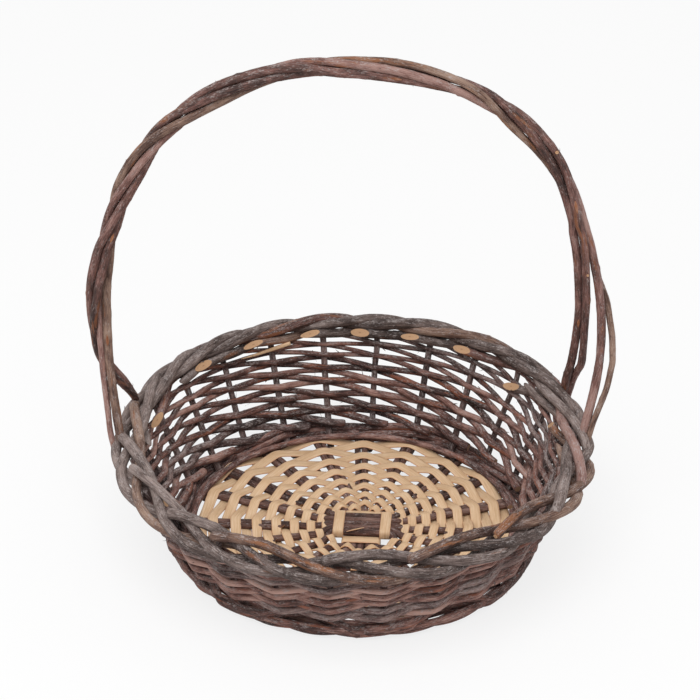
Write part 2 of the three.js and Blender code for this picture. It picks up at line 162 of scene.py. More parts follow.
def tube_faces(tubes: int, rings: int, sides: int) -> tuple[Array, Array]:
    """Faces of closed tubes, whose rings' points come first and then the middles of their ends.

    Args:
        tubes: How many tubes there are.
        rings: Rings of points along each.
        sides: Points in a ring.

    Returns:
        The four-sided faces round the tubes, and the three-sided ones of their first and last ends.
    """
    index = np.arange(tubes * rings * sides).reshape(tubes, rings, sides)
    ahead = np.roll(index, -1, axis=2)
    quads = np.stack([index[:, :-1], ahead[:, :-1], ahead[:, 1:], index[:, 1:]], axis=-1)
    middles = index.size + np.arange(2 * tubes).reshape(2, tubes, 1)
    first, last = np.broadcast_to(middles, (2, tubes, sides))
    tris = np.stack([(first, ahead[:, 0], index[:, 0]), (last, index[:, -1], ahead[:, -1])])
    return quads.reshape(-1, 4), np.moveaxis(tris, 1, -1).reshape(-1, 3)


@dataclass
class Surface:
    """A mesh before Blender has it: points, faces, and what the finishes read.

    Attributes:
        points: Vertices in millimetres.
        quads: Four-sided faces, all in material slot 0.
        tris: Three-sided faces.
        slots: The material slot of each three-sided face.
        grain: A place in the straightened rod or strip for each vertex, in millimetres.
        tone: The shade of each vertex, about -1 to 1; on the weave and the border it also holds painted light
            and shade by the side of the basket.
    """

    points: Array
    quads: Array
    tris: Array
    slots: Array
    grain: Array
    tone: Array

    @staticmethod
    def joined(parts: Sequence[Surface]) -> Surface:
        """Several surfaces as one, each with its faces renumbered past the ones before it."""
        starts = np.cumsum([0] + [len(part.points) for part in parts[:-1]])
        moved = [
            replace(part, quads=part.quads + start, tris=part.tris + start)
            for part, start in zip(parts, starts)
        ]
        names = [each.name for each in fields(Surface)]
        return Surface(*(np.concatenate([getattr(part, name) for part in moved]) for name in names))

    def facing(self, front: float, side: float, back: float) -> Surface:
        """The surface with painted light and shade added to its tone by the side of the basket that each
        point is on.
        """
        turn = self.points[:, 1] / np.hypot(self.points[:, 0], self.points[:, 1])
        # Painted light and shade: the tone is raised or lowered at the front, the sides and the back to stand
        # in for how the light falls there.
        shift = np.interp(turn, (-0.9, -0.5, 0.3, 0.8), (front, side, side, back))
        return replace(self, tone=self.tone + shift)

    def piece(self, name: str, finishes: Sequence[bpy.types.Material]) -> bpy.types.Object:
        """Makes a Blender object of the surface.

        Args:
            name: The piece's name.
            finishes: Materials in the order of the slots.

        Returns:
            The object, at the origin, with its place in its mesh.
        """
        mesh = bpy.data.meshes.new(name)
        sides = np.repeat([4, 3], [len(self.quads), len(self.tris)])
        starts = np.concatenate([[0], np.cumsum(sides)[:-1]])
        slots = np.concatenate([np.zeros(len(self.quads)), self.slots])
        mesh.vertices.add(len(self.points))
        mesh.vertices.foreach_set("co", (self.points * MM).astype(np.float32).ravel())
        mesh.loops.add(int(sides.sum()))
        corners = np.concatenate([self.quads.ravel(), self.tris.ravel()])
        mesh.loops.foreach_set("vertex_index", corners.astype(np.int32))
        mesh.polygons.add(len(sides))
        mesh.polygons.foreach_set("loop_start", starts.astype(np.int32))
        for finish in finishes:
            mesh.materials.append(finish)
        mesh.polygons.foreach_set("material_index", slots.astype(np.int32))
        mesh.polygons.foreach_set("use_smooth", sides == 4)
        mesh.update(calc_edges=True)
        grain = mesh.attributes.new("grain_place", "FLOAT_VECTOR", "POINT")
        grain.data.foreach_set("vector", self.grain.astype(np.float32).ravel())
        tone = mesh.attributes.new("rod_tone", "FLOAT", "POINT")
        tone.data.foreach_set("value", self.tone.astype(np.float32))
        made = bpy.data.objects.new(name, mesh)
        bpy.context.scene.collection.objects.link(made)
        return made


class RodEnd(Enum):
    """How a rod's end is finished."""

    BLUNT = "cut square"
    SLANT = "cut on a slant"
    WORN = "rounded over"


@dataclass(frozen=True)
class Bark:
    """How uneven a rod is.

    Attributes:
        lump: Share of the radius by which the skin swells and sinks.
        knot_gap: Usual distance between bud knots.
        knot_rise: Share of the radius that a knot stands out.
        wander: How far the rod strays from its course.
    """

    lump: float = 0.045
    knot_gap: float = 36.0
    knot_rise: float = 0.2
    wander: float = 0.35


@dataclass
class Rod:
    """One rod along a course.

    Attributes:
        course: Rows of x, y, z and radius.
        seed: Seed of its own unevenness.
        across: The direction from which turns round it are counted, or None for outwards.
        bark: How uneven it is.
        sides: Faces round it.
        start: Its first end.
        end: Its last end.
        slant: Length of a slanting cut.
        slant_turn: Where round the rod the slanting cut is deepest, in degrees.
        tone: Its own shade.
        tone_drift: How much its shade changes along it.
        caps: Material slots of its first and last end.
    """

    course: Array
    seed: int
    across: Triple | None = None
    bark: Bark = Bark()
    sides: int = 12
    start: RodEnd = RodEnd.BLUNT
    end: RodEnd = RodEnd.BLUNT
    slant: float = 9.0
    slant_turn: float = 225.0
    tone: float = 0.0
    tone_drift: float = 0.5
    caps: tuple[int, int] = (1, 1)

    def surface(self) -> Surface:
        """The rod's skin and its two ends.

        The skin is the course plus, at each turn round it, the radius times the cosine along the
        first cross direction and the sine along the second. The course strays by two random waves.

        Returns:
            A closed surface: skin in slot 0, ends in the slots of the caps.
        """
        rng = np.random.default_rng(self.seed)
        centre, run = self.course[:, :3], run_along(self.course)
        along = unit(np.gradient(centre, axis=0))
        first = square_to(along, outward(centre) if self.across is None else np.array(self.across))
        second = np.cross(along, first)
        stray = self.bark.wander * ease(np.minimum(run, run[-1] - run) / 12.0)
        for side, gap in ((first, 21.0), (second, 26.0)):
            centre = centre + side * (stray * wave(run, gap, rng))[:, None]

        turn = np.arange(self.sides) * 2.0 * np.pi / self.sides
        place = self.cut_places(run, turn)
        skin, out, side = (
            np.stack([np.interp(place, run, column) for column in rows.T], axis=-1)
            for rows in (centre, first, second)
        )
        size = np.interp(place, run, self.course[:, 3]) * self.swelling(place, turn, rng)
        size = size * self.end_rounding(place, run[-1])
        skin = skin + size[..., None] * (np.cos(turn)[:, None] * out + np.sin(turn)[:, None] * side)

        quads, tris = tube_faces(1, len(run), self.sides)
        points = np.concatenate([skin.reshape(-1, 3), skin[[0, -1]].mean(axis=1)])
        far = ROD_GRAIN_GAP * self.seed
        grain = np.stack([size * np.cos(turn), size * np.sin(turn), place + far], axis=-1).reshape(-1, 3)
        grain = np.concatenate([grain, [[0.0, 0.0, far], [0.0, 0.0, run[-1] + far]]])
        tone = self.tone + self.tone_drift * wave(run, 45.0, rng)
        tone = np.concatenate([np.repeat(tone, self.sides), tone[[0, -1]]])
        return Surface(points, quads, tris, np.repeat(self.caps, self.sides), grain, tone)

    def cut_places(self, run: Array, turn: Array) -> Array:
        """Where along the rod each grid point lies.

        At a slanting cut each line along the skin stops early by half the slant times one plus the
        cosine from the cut's turn.
        """
        place = np.repeat(run[:, None], len(turn), axis=1)
        lean = self.slant * (1.0 + np.cos(turn - np.radians(self.slant_turn))) / 2.0
        reach = 3.0 * self.slant
        if self.start is RodEnd.SLANT:
            place = place + lean * (1.0 - ease(run / reach))[:, None]
        if self.end is RodEnd.SLANT:
            place = place - lean * (1.0 - ease((run[-1] - run) / reach))[:, None]
        return place

    def end_rounding(self, place: Array, length: float) -> Array:
        """Share of the radius kept near the ends: a cut edge is barely worn, a worn end is domed."""
        kept = np.ones_like(place)
        for end, gap in ((self.start, place), (self.end, length - place)):
            depth, least = (2.6, 0.45) if end is RodEnd.WORN else (0.9, 0.9)
            if end is not RodEnd.SLANT:
                share = np.sqrt(np.clip(1.0 - (1.0 - np.clip(gap / depth, 0.0, 1.0)) ** 2, 0.0, 1.0))
                kept = kept * (least + (1.0 - least) * share)
        return kept

    def swelling(self, place: Array, turn: Array, rng: np.random.Generator) -> Array:
        """Swell of the skin: one, plus long and short waves round the rod, plus a bell for each knot."""
        middle = place.mean(axis=1)
        swell = np.ones_like(place)
        for lobes, share in ((1, 0.6), (2, 1.0), (3, 0.6), (5, 0.45)):
            height = wave(middle, 9.0 + 20.0 / lobes, rng)[:, None]
            phase = 2.0 * np.pi * wave(middle, 60.0, rng)[:, None]
            swell = swell + self.bark.lump * share * height * np.cos(lobes * turn + phase)
        for lobes, gap in ((3, 5.0), (4, 3.4)):
            phase = 2.0 * np.pi * wave(middle, 8.0, rng)[:, None]
            height = wave(middle, gap, rng)[:, None]
            swell = swell + 0.35 * self.bark.lump * height * np.cos(lobes * turn + phase)
        knots = np.arange(rng.uniform(4.0, self.bark.knot_gap), place.max(), self.bark.knot_gap)
        knots = knots + rng.uniform(-0.3, 0.3, len(knots)) * self.bark.knot_gap
        for number, knot in enumerate(knots):
            facing = 0.5 + 0.5 * np.cos(turn - 2.4 * number - self.seed)
            rise = bell(place, knot, rng.uniform(1.1, 2.2))
            swell = swell + self.bark.knot_rise * rng.uniform(0.4, 1.0) * rise * (0.2 + 0.8 * facing**3)
        return swell


def strip(
    course: Array, across: Array | Triple, thickness: float, seed: int, closed: bool = False
) -> Surface:
    """A split bamboo strip carried along a course.

    The section has ten corners: the half width times a corner's share along the first cross
    direction, and the thickness times its share along the second, crowned a little on top.

    Args:
        course: Rows of x, y, z and half width.
        across: The direction of the strip's width, for all rows or each.
        thickness: Thickness of the strip.
        seed: Seed of its unevenness.
        closed: Whether its ends meet.

    Returns:
        A closed surface in slot 0.
    """
    rng = np.random.default_rng(seed)
    centre, run = course[:, :3], run_along(course)
    along = unit(np.gradient(centre, axis=0))
    if closed:
        along[[0, -1]] = unit(along[0] + along[-1])
    first = square_to(along, np.asarray(across))
    second = np.cross(first, along)
    wide = np.array([-1.0, -0.94, -0.5, 0.0, 0.5, 0.94, 1.0, 0.94, 0.0, -0.94])
    high = thickness * np.array([0.0, 0.4, 0.5, 0.53, 0.5, 0.4, 0.0, -0.45, -0.5, -0.45])
    unevenness = 0.0 if closed else 0.04
    half = course[:, 3] * (1.0 + unevenness * wave(run, 14.0, rng))
    width = half[:, None] * wide
    points = centre[:, None] + width[..., None] * first[:, None] + high[None, :, None] * second[:, None]
    far = run[:, None] + STRIP_GRAIN_GAP * seed
    grain = np.stack(np.broadcast_arrays(width, high[None], far), axis=-1).reshape(-1, 3)
    points, tone = points.reshape(-1, 3), np.tile(np.abs(wide), len(run))
    quads, tris = tube_faces(1, len(run), len(wide))
    if closed:
        last = len(points) - len(wide)
        quads, tris = np.where(quads >= last, quads - last, quads), tris[:0]
        points, grain, tone = points[:last], grain[:last], tone[:last]
    else:
        points = np.concatenate([points, centre[[0, -1]]])
        grain, tone = np.concatenate([grain, grain[[0, -1]]]), np.concatenate([tone, [1.0, 1.0]])
    return Surface(points, quads, tris, np.zeros(len(tris)), grain, tone)


def sprigs(courses: Sequence[Array], count: int, seed: int, length: float, radius: float) -> Surface:
    """Short tapering shoots and fibres that stand out of rods.

    Each is a thin tube: its centre starts inside the skin of a random row of a course, leaves it
    sideways and curls forward by the square of its share of the length.

    Args:
        courses: Rows of x, y, z and radius of the rods that carry them.
        count: How many there are.
        seed: Seed of their places.
        length: Usual length.
        radius: Radius at the foot.

    Returns:
        One surface of closed tubes in slot 0, without those that would touch the floor or stand
        out past the handle's sides.
    """
    rings, sides, lowest, widest = 6, 5, 1.2, 174.5
    rng = np.random.default_rng(seed)
    rows = np.concatenate([course[4:-4] for course in courses])
    ways = np.concatenate([unit(np.gradient(course[:, :3], axis=0))[4:-4] for course in courses])
    pick = rng.integers(0, len(rows), count)
    along = ways[pick]
    side = square_to(along, unit(rng.normal(size=(count, 3))))
    third = np.cross(along, side)
    long = length * rng.uniform(0.5, 1.5, count)
    share = np.linspace(0.0, 1.0, rings)
    lift = (rows[pick, 3] * 0.8)[:, None] + (long * rng.uniform(0.3, 1.0, count))[:, None] * share
    curl = (long * rng.uniform(-1.0, 1.2, count))[:, None] * share**2
    twist = (long * rng.uniform(-0.5, 0.5, count))[:, None] * share**3
    line = rows[pick, None, :3]
    for size, way in ((lift, side), (curl, along), (twist, third)):
        line = line + size[..., None] * way[:, None]
    clear = (line[..., 2].min(axis=1) > lowest) & (np.abs(line[..., 0]).max(axis=1) < widest)
    line, third, count = line[clear], third[clear], int(clear.sum())
    onward = unit(np.gradient(line, axis=1))
    one = unit(np.cross(onward, third[:, None] + 0.31))
    two = np.cross(onward, one)
    turn = np.arange(sides) * 2.0 * np.pi / sides
    size = radius * rng.uniform(0.6, 1.3, count)[:, None] * (1.0 - 0.75 * share)
    ring = np.cos(turn)[:, None] * one[:, :, None] + np.sin(turn)[:, None] * two[:, :, None]
    skin = line[:, :, None] + size[..., None, None] * ring
    points = np.concatenate([skin.reshape(-1, 3), line[:, 0], line[:, -1]])
    tone = rng.uniform(-0.6, 0.9, count)
    tone = np.concatenate([np.repeat(tone, rings * sides), tone, tone])
    quads, tris = tube_faces(count, rings, sides)
    return Surface(points, quads, tris, np.zeros(len(tris)), points, tone)


# Finishes


def linear(code: int) -> tuple[float, float, float, float]:
    """A written colour, such as 0x5b4238, as the linear colour that a shader takes."""
    parts = np.array([(code >> shift) & 255 for shift in (16, 8, 0)]) / 255.0
    plain = np.where(parts <= 0.04045, parts / 12.92, ((parts + 0.055) / 1.055) ** 2.4)
    return (float(plain[0]), float(plain[1]), float(plain[2]), 1.0)


Socket = bpy.types.NodeSocket
Feed = Socket | float | tuple
EVEN = (1.0, 1.0, 1.0)


class Bench:
    """Places nodes in a node tree and joins them."""

    def __init__(self, tree: bpy.types.NodeTree) -> None:
        """Keeps the tree to work in."""
        self.tree = tree

    def feed(self, sockets: Sequence[Socket], feeds: dict[str | int, Feed]) -> None:
        """Joins sockets, by name or number, to others, or sets their values."""
        for name, value in feeds.items():
            if isinstance(value, Socket):
                self.tree.links.new(value, sockets[name])
            else:
                sockets[name].default_value = value

    def node(self, kind: str, feeds: dict[str | int, Feed], **settings: object) -> bpy.types.Node:
        """Adds a node.

        Args:
            kind: The node's type without the words ShaderNode.
            feeds: What goes into its sockets, by name or number.
            settings: Its own settings.

        Returns:
            The node.
        """
        made = self.tree.nodes.new("ShaderNode" + kind)
        for name, value in settings.items():
            setattr(made, name, value)
        self.feed(made.inputs, feeds)
        return made

    def math(self, operation: str, first: Feed, second: Feed = 0.0, third: Feed = 0.0) -> Socket:
        """A product or other operation on two or three values."""
        return self.node("Math", {0: first, 1: second, 2: third}, operation=operation).outputs[0]

    def total(self, *parts: tuple[Feed, float]) -> Socket:
        """The sum of values, each times its weight."""
        products = [self.math("MULTIPLY", value, weight) for value, weight in parts]
        made = products[0]
        for product in products[1:]:
            made = self.math("ADD", made, product)
        return made

    def stretched(self, vector: Feed, scale: Triple) -> Socket:
        """A vector times a scale for each axis."""
        return self.node("Mapping", {"Vector": vector, "Scale": scale}).outputs[0]

    def noise(
        self, vector: Feed, stretch: Triple, scale: float = 1.0, detail: float = 4.0, rough: float = 0.6
    ) -> Socket:
        """Plain noise between 0 and 1, stretched along each axis."""
        vector = self.stretched(vector, stretch)
        feeds = {"Vector": vector, "Scale": scale, "Detail": detail, "Roughness": rough}
        return self.node("TexNoise", feeds).outputs[0]

    def fade(self, value: Feed, low: float, high: float) -> Socket:
        """A smooth rise from 0 at the low value to 1 at the high one."""
        feeds = {"Value": value, "From Min": low, "From Max": high}
        return self.node("MapRange", feeds, interpolation_type="SMOOTHSTEP").outputs[0]

    def tint(self, colour: Feed, mask: Feed, most: float, code: int) -> Socket:
        """A colour blended towards a written one by a mask times its most."""
        feeds = {0: self.math("MULTIPLY", mask, most), 6: colour, 7: linear(code)}
        return self.node("Mix", feeds, data_type="RGBA").outputs[2]

    def ramp(self, value: Feed, places: Sequence[float], codes: Sequence[int]) -> Socket:
        """A run of written colours by a value, each at its place."""
        made = self.node("ValToRGB", {0: value})
        stops = made.color_ramp.elements
        while len(stops) < len(codes):
            stops.new(0.5)
        for stop, place, code in zip(stops, places, codes):
            stop.position = place
            stop.color = linear(code)
        return made.outputs[0]

    def group(self, tree: bpy.types.NodeTree, **feeds: Feed) -> Sequence[Socket]:
        """Adds a shared group with its own values, and gives what comes out of it."""
        made = self.tree.nodes.new("ShaderNodeGroup")
        made.node_tree = tree
        self.feed(made.inputs, feeds)
        return made.outputs

    def seen_directly(self) -> Socket:
        """A mask that is 1 for what the camera sees itself, in a mirror or through glass."""
        path = self.node("LightPath", {}).outputs
        seen = self.math("MAXIMUM", path["Is Camera Ray"], path["Is Glossy Ray"])
        return self.math("MAXIMUM", seen, path["Is Transmission Ray"])


class GroupBench(Bench):
    """A bench for a shared node group that takes a place and one value."""

    def __init__(self, name: str, value: str) -> None:
        """Starts the group.

        Args:
            name: The group's name.
            value: The name of the value that it takes.
        """
        super().__init__(bpy.data.node_groups.new(name, "ShaderNodeTree"))
        for label, kind in (("Place", "Vector"), (value, "Float")):
            self.tree.interface.new_socket(label, in_out="INPUT", socket_type="NodeSocket" + kind)
        self.place, self.value = self.tree.nodes.new("NodeGroupInput").outputs[:2]

    def give(self, **values: Socket) -> bpy.types.NodeTree:
        """Lets values out of the group under their names, and gives the group."""
        for label in values:
            self.tree.interface.new_socket(label, in_out="OUTPUT", socket_type="NodeSocketFloat")
        self.feed(self.tree.nodes.new("NodeGroupOutput").inputs, values)
        return self.tree


class FinishBench(Bench):
    """A bench for one finish, with the place and the shade that the surfaces carry."""

    def __init__(self, name: str) -> None:
        """Starts the material under its name."""
        self.made = bpy.data.materials.new(name)
        self.made.use_nodes = True
        super().__init__(self.made.node_tree)
        self.place = self.node("Attribute", {}, attribute_name="grain_place").outputs["Vector"]
        self.tone = self.node("Attribute", {}, attribute_name="rod_tone").outputs["Fac"]

    def dress(self, colour: Feed, rough: Feed, gloss: float, height: Feed, bump: Pair) -> bpy.types.Material:
        """Feeds the shader.

        Args:
            colour: Base colour.
            rough: Roughness.
            gloss: Specular level.
            height: Height of the relief.
            bump: Strength and distance of the relief, the distance in metres.

        Returns:
            The finished material.
        """
        relief = self.node("Bump", {"Height": height, "Strength": bump[0], "Distance": bump[1]})
        shader = self.tree.nodes["Principled BSDF"].inputs
        self.feed(shader, {"Base Color": colour, "Roughness": rough, "Specular IOR Level": gloss})
        self.feed(shader, {"Normal": relief.outputs[0]})
        return self.made


class Effects:
    """Node groups that several finishes share."""

    def __init__(self) -> None:
        """Builds each group once."""
        self.fibre = self.build_fibre()
        self.dust = self.build_dust()

    @staticmethod
    def build_fibre() -> bpy.types.NodeTree:
        """Long streaks, patches and fine grit along a rod or strip, with their relief."""
        bench = GroupBench("long_fibre", "Length")
        parts = bench.node("SeparateXYZ", {0: bench.place}).outputs
        along = bench.math("MULTIPLY", parts[2], bench.value)
        drawn = bench.node("CombineXYZ", {0: parts[0], 1: parts[1], 2: along}).outputs[0]
        streak = bench.noise(drawn, EVEN, 1.5, 5.0)
        patch = bench.noise(bench.place, (0.16, 0.16, 0.07), detail=3.0, rough=0.55)
        grit = bench.noise(bench.place, EVEN, 2.4, rough=0.7)
        relief = bench.math("MULTIPLY_ADD", streak, 0.65, bench.math("MULTIPLY", grit, 0.35))
        return bench.give(Streak=streak, Patch=patch, Grit=grit, Relief=relief)

    @staticmethod
    def build_dust() -> bpy.types.NodeTree:
        """A pale bloom: fine specks gathered in soft drifts, more of them on what faces up."""
        bench = GroupBench("pale_dust", "Amount")
        drift = bench.noise(bench.place, (0.36, 0.36, 0.12))
        specks = bench.noise(bench.place, (1.15, 1.15, 0.38), 1.25, rough=0.7)
        normal = bench.node("NewGeometry", {}).outputs["Normal"]
        up = bench.node("SeparateXYZ", {0: normal}).outputs[2]
        bloom = bench.total((drift, 0.36), (specks, 0.64), (up, 0.045), (bench.value, 0.12))
        return bench.give(Dust=bench.fade(bloom, 0.535, 0.665))


@dataclass(frozen=True)
class BarkFinish:
    """Bark of thin dried rods.

    Attributes:
        name: The material's name.
        shades: Written colours from the deepest to the brightest.
        warm: Written colour where the outer bark has worn off.
        worn: How much of it has, from 0 to 1.
        dust: How much dust there is, about -1 to 1.
        rough: Roughness of the skin.
        length: How long the streaks are drawn: a smaller share draws them longer.
    """

    name: str
    shades: tuple[int, int, int, int]
    warm: int
    worn: float
    dust: float
    rough: float = 0.78
    length: float = 0.1
    bloom: ClassVar[int] = 0xB2A8A5
    pit: ClassVar[int] = 0x2A1C18

    def material(self, effects: Effects) -> bpy.types.Material:
        """Builds the material from the shared groups and this finish's own colours."""
        bench = FinishBench(self.name)
        fibre = bench.group(effects.fibre, Place=bench.place, Length=self.length)
        # The tone is each rod's own shade plus, on the weave and the border, painted light and shade by side
        # of the basket.
        shade = bench.total(
            (fibre["Streak"], 0.62), (fibre["Patch"], 0.5), (fibre["Grit"], 0.3), (bench.tone, 0.11)
        )
        colour = bench.ramp(bench.fade(shade, 0.42, 0.98), (0.0, 0.36, 0.66, 1.0), self.shades)
        bare = bench.noise(bench.place, (0.22, 0.22, 0.032), detail=5.0)
        bare = bench.total((bare, 1.0), (bench.tone, -0.05))
        bare = bench.fade(bare, 0.72 - 0.3 * self.worn, 0.82 - 0.3 * self.worn)
        colour = bench.tint(colour, bare, 0.8, self.warm)
        spread = bench.stretched(bench.place, (0.34, 0.34, 0.2))
        cells = bench.node("TexVoronoi", {"Vector": spread, "Scale": 1.0})
        pits = bench.fade(cells.outputs["Distance"], 0.17, 0.08)
        colour = bench.tint(colour, pits, 0.55, self.pit)
        dust = bench.group(effects.dust, Place=bench.place, Amount=self.dust)["Dust"]
        colour = bench.tint(colour, dust, 0.66, self.bloom)
        rough = bench.math("MULTIPLY_ADD", dust, 0.16, self.rough)
        height = bench.total((fibre["Relief"], 1.0), (pits, -0.25), (dust, 0.12))
        return bench.dress(colour, rough, 0.32, height, (0.75, 0.0005))


@dataclass(frozen=True)
class BambooFinish:
    """Split bamboo: pale straight fibres, with warmer cut edges.

    Attributes:
        name: The material's name.
        shades: Written colours from the deepest to the palest.
        edge: Written colour of the cut edges.
        spot: Written colour of the odd darker spots.
    """

    name: str
    shades: tuple[int, int, int]
    edge: int
    spot: int

    def material(self, effects: Effects) -> bpy.types.Material:
        """Builds the material from the shared groups and this finish's own colours."""
        bench = FinishBench(self.name)
        fibre = bench.group(effects.fibre, Place=bench.place, Length=0.035)
        fine = bench.noise(bench.place, (4.2, 4.2, 0.09))
        shade = bench.total((fibre["Streak"], 0.5), (fine, 0.5), (fibre["Patch"], 0.35))
        colour = bench.ramp(bench.fade(shade, 0.45, 0.92), (0.0, 0.5, 1.0), self.shades)
        rim = bench.fade(bench.total((bench.tone, 1.0), (fibre["Grit"], 0.08)), 0.88, 1.03)
        colour = bench.tint(colour, rim, 0.75, self.edge)
        spot = bench.noise(bench.place, (0.5, 0.5, 0.25), detail=2.0, rough=0.55)
        colour = bench.tint(colour, bench.fade(spot, 0.73, 0.79), 0.4, self.spot)
        rough = bench.math("MULTIPLY_ADD", fine, 0.2, 0.5)
        height = bench.total((fine, 0.7), (fibre["Grit"], 0.2))
        return bench.dress(colour, rough, 0.35, height, (0.45, 0.00025))


@dataclass(frozen=True)
class CutWoodFinish:
    """Bare wood at a rod's cut end: rings round a darker pith.

    Attributes:
        name: The material's name.
        pale: Written colour of the wood.
        deep: Written colour of its rings and pith.
    """

    name: str
    pale: int
    deep: int

    def material(self, effects: Effects) -> bpy.types.Material:
        """Builds the material from the shared groups and this finish's own colours."""
        bench = FinishBench(self.name)
        flat = bench.stretched(bench.place, (1.0, 1.0, 0.0))
        away = bench.node("VectorMath", {0: flat}, operation="LENGTH").outputs["Value"]
        fibre = bench.group(effects.fibre, Place=bench.place, Length=0.3)
        wobble = bench.total((away, 1.0), (fibre["Grit"], 0.5))
        rings = bench.math("SINE", bench.math("MULTIPLY", wobble, 6.5))
        rings = bench.math("MULTIPLY_ADD", rings, 0.5, 0.5)
        share = bench.total((rings, 0.16), (bench.fade(away, 0.65, 0.25), 0.4), (fibre["Streak"], 0.25))
        colour = bench.tint(linear(self.pale), bench.fade(share, 0.05, 1.0), 1.0, self.deep)
        return bench.dress(colour, 0.8, 0.25, fibre["Grit"], (0.5, 0.0003))


class Look(Enum):
    """Every finish on the basket."""

    WEAVE = BarkFinish("weave_bark", (0x231917, 0x523833, 0x805B52, 0xB18D81), 0x8E553E, 0.45, 0.1, 0.7)
    DARK_WEAVE = BarkFinish(
        "dark_weave_bark", (0x241A19, 0x4C3936, 0x745C57, 0x9E8780), 0x7A4A3C, 0.25, 0.3, 0.72
    )
    BORDER = BarkFinish(
        "border_bark", (0x1E1614, 0x493C38, 0x6C5D58, 0x9A8A84), 0x7E5239, 0.32, 0.05, length=0.07
    )
    TAN_BORDER = BarkFinish(
        "tan_border_bark", (0x261A16, 0x563F37, 0x7B6154, 0xA28878), 0x8F5D3D, 0.5, 0.0, length=0.07
    )
    HANDLE = BarkFinish("handle_bark", (0x211716, 0x503731, 0x74514A, 0xA07F76), 0x875538, 0.53, 0.05, 0.66)
    TORN = BarkFinish("torn_bark", (0x4A2A1E, 0x7A4A32, 0x946043, 0xAE8063), 0x8E5535, 0.4, -0.1)
    STICK = BarkFinish("base_bark", (0x221714, 0x46312B, 0x684A41, 0x8A6E64), 0x714636, 0.3, -0.2)
    BAMBOO = BambooFinish("split_bamboo", (0xC6A079, 0xD9B792, 0xE6CAAA), 0xCF9570, 0x9A7450)
    CUT = CutWoodFinish("cut_wood", 0xBE9876, 0x8A6248)
    DULL_CUT = CutWoodFinish("dull_cut_wood", 0x9C7A60, 0x5A4034)


# The basket's sub-assemblies


@dataclass
class SubAssembly:
    """A named group of pieces that ride on the basket's one body.

    Attributes:
        palette: Materials to dress the pieces with.
        pieces: The pieces made so far.
        courses: The courses of its woven rods, as rows of x, y, z and radius.
    """

    palette: dict[Look, bpy.types.Material]
    pieces: list[bpy.types.Object] = field(default_factory=list)
    courses: list[Array] = field(default_factory=list)

    def add(self, parts: Sequence[Surface], name: str, looks: Sequence[Look], slot: str, *nodes: str) -> None:
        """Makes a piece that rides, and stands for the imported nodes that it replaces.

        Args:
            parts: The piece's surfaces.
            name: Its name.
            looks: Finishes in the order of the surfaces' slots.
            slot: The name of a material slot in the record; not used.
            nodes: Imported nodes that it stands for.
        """
        made = Surface.joined(parts).piece(name, [self.palette[look] for look in looks])
        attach(made, "root")
        if nodes:
            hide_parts(*nodes)
        self.pieces.append(made)
        LOG.info("%s: %d faces", made.name, len(made.data.polygons))


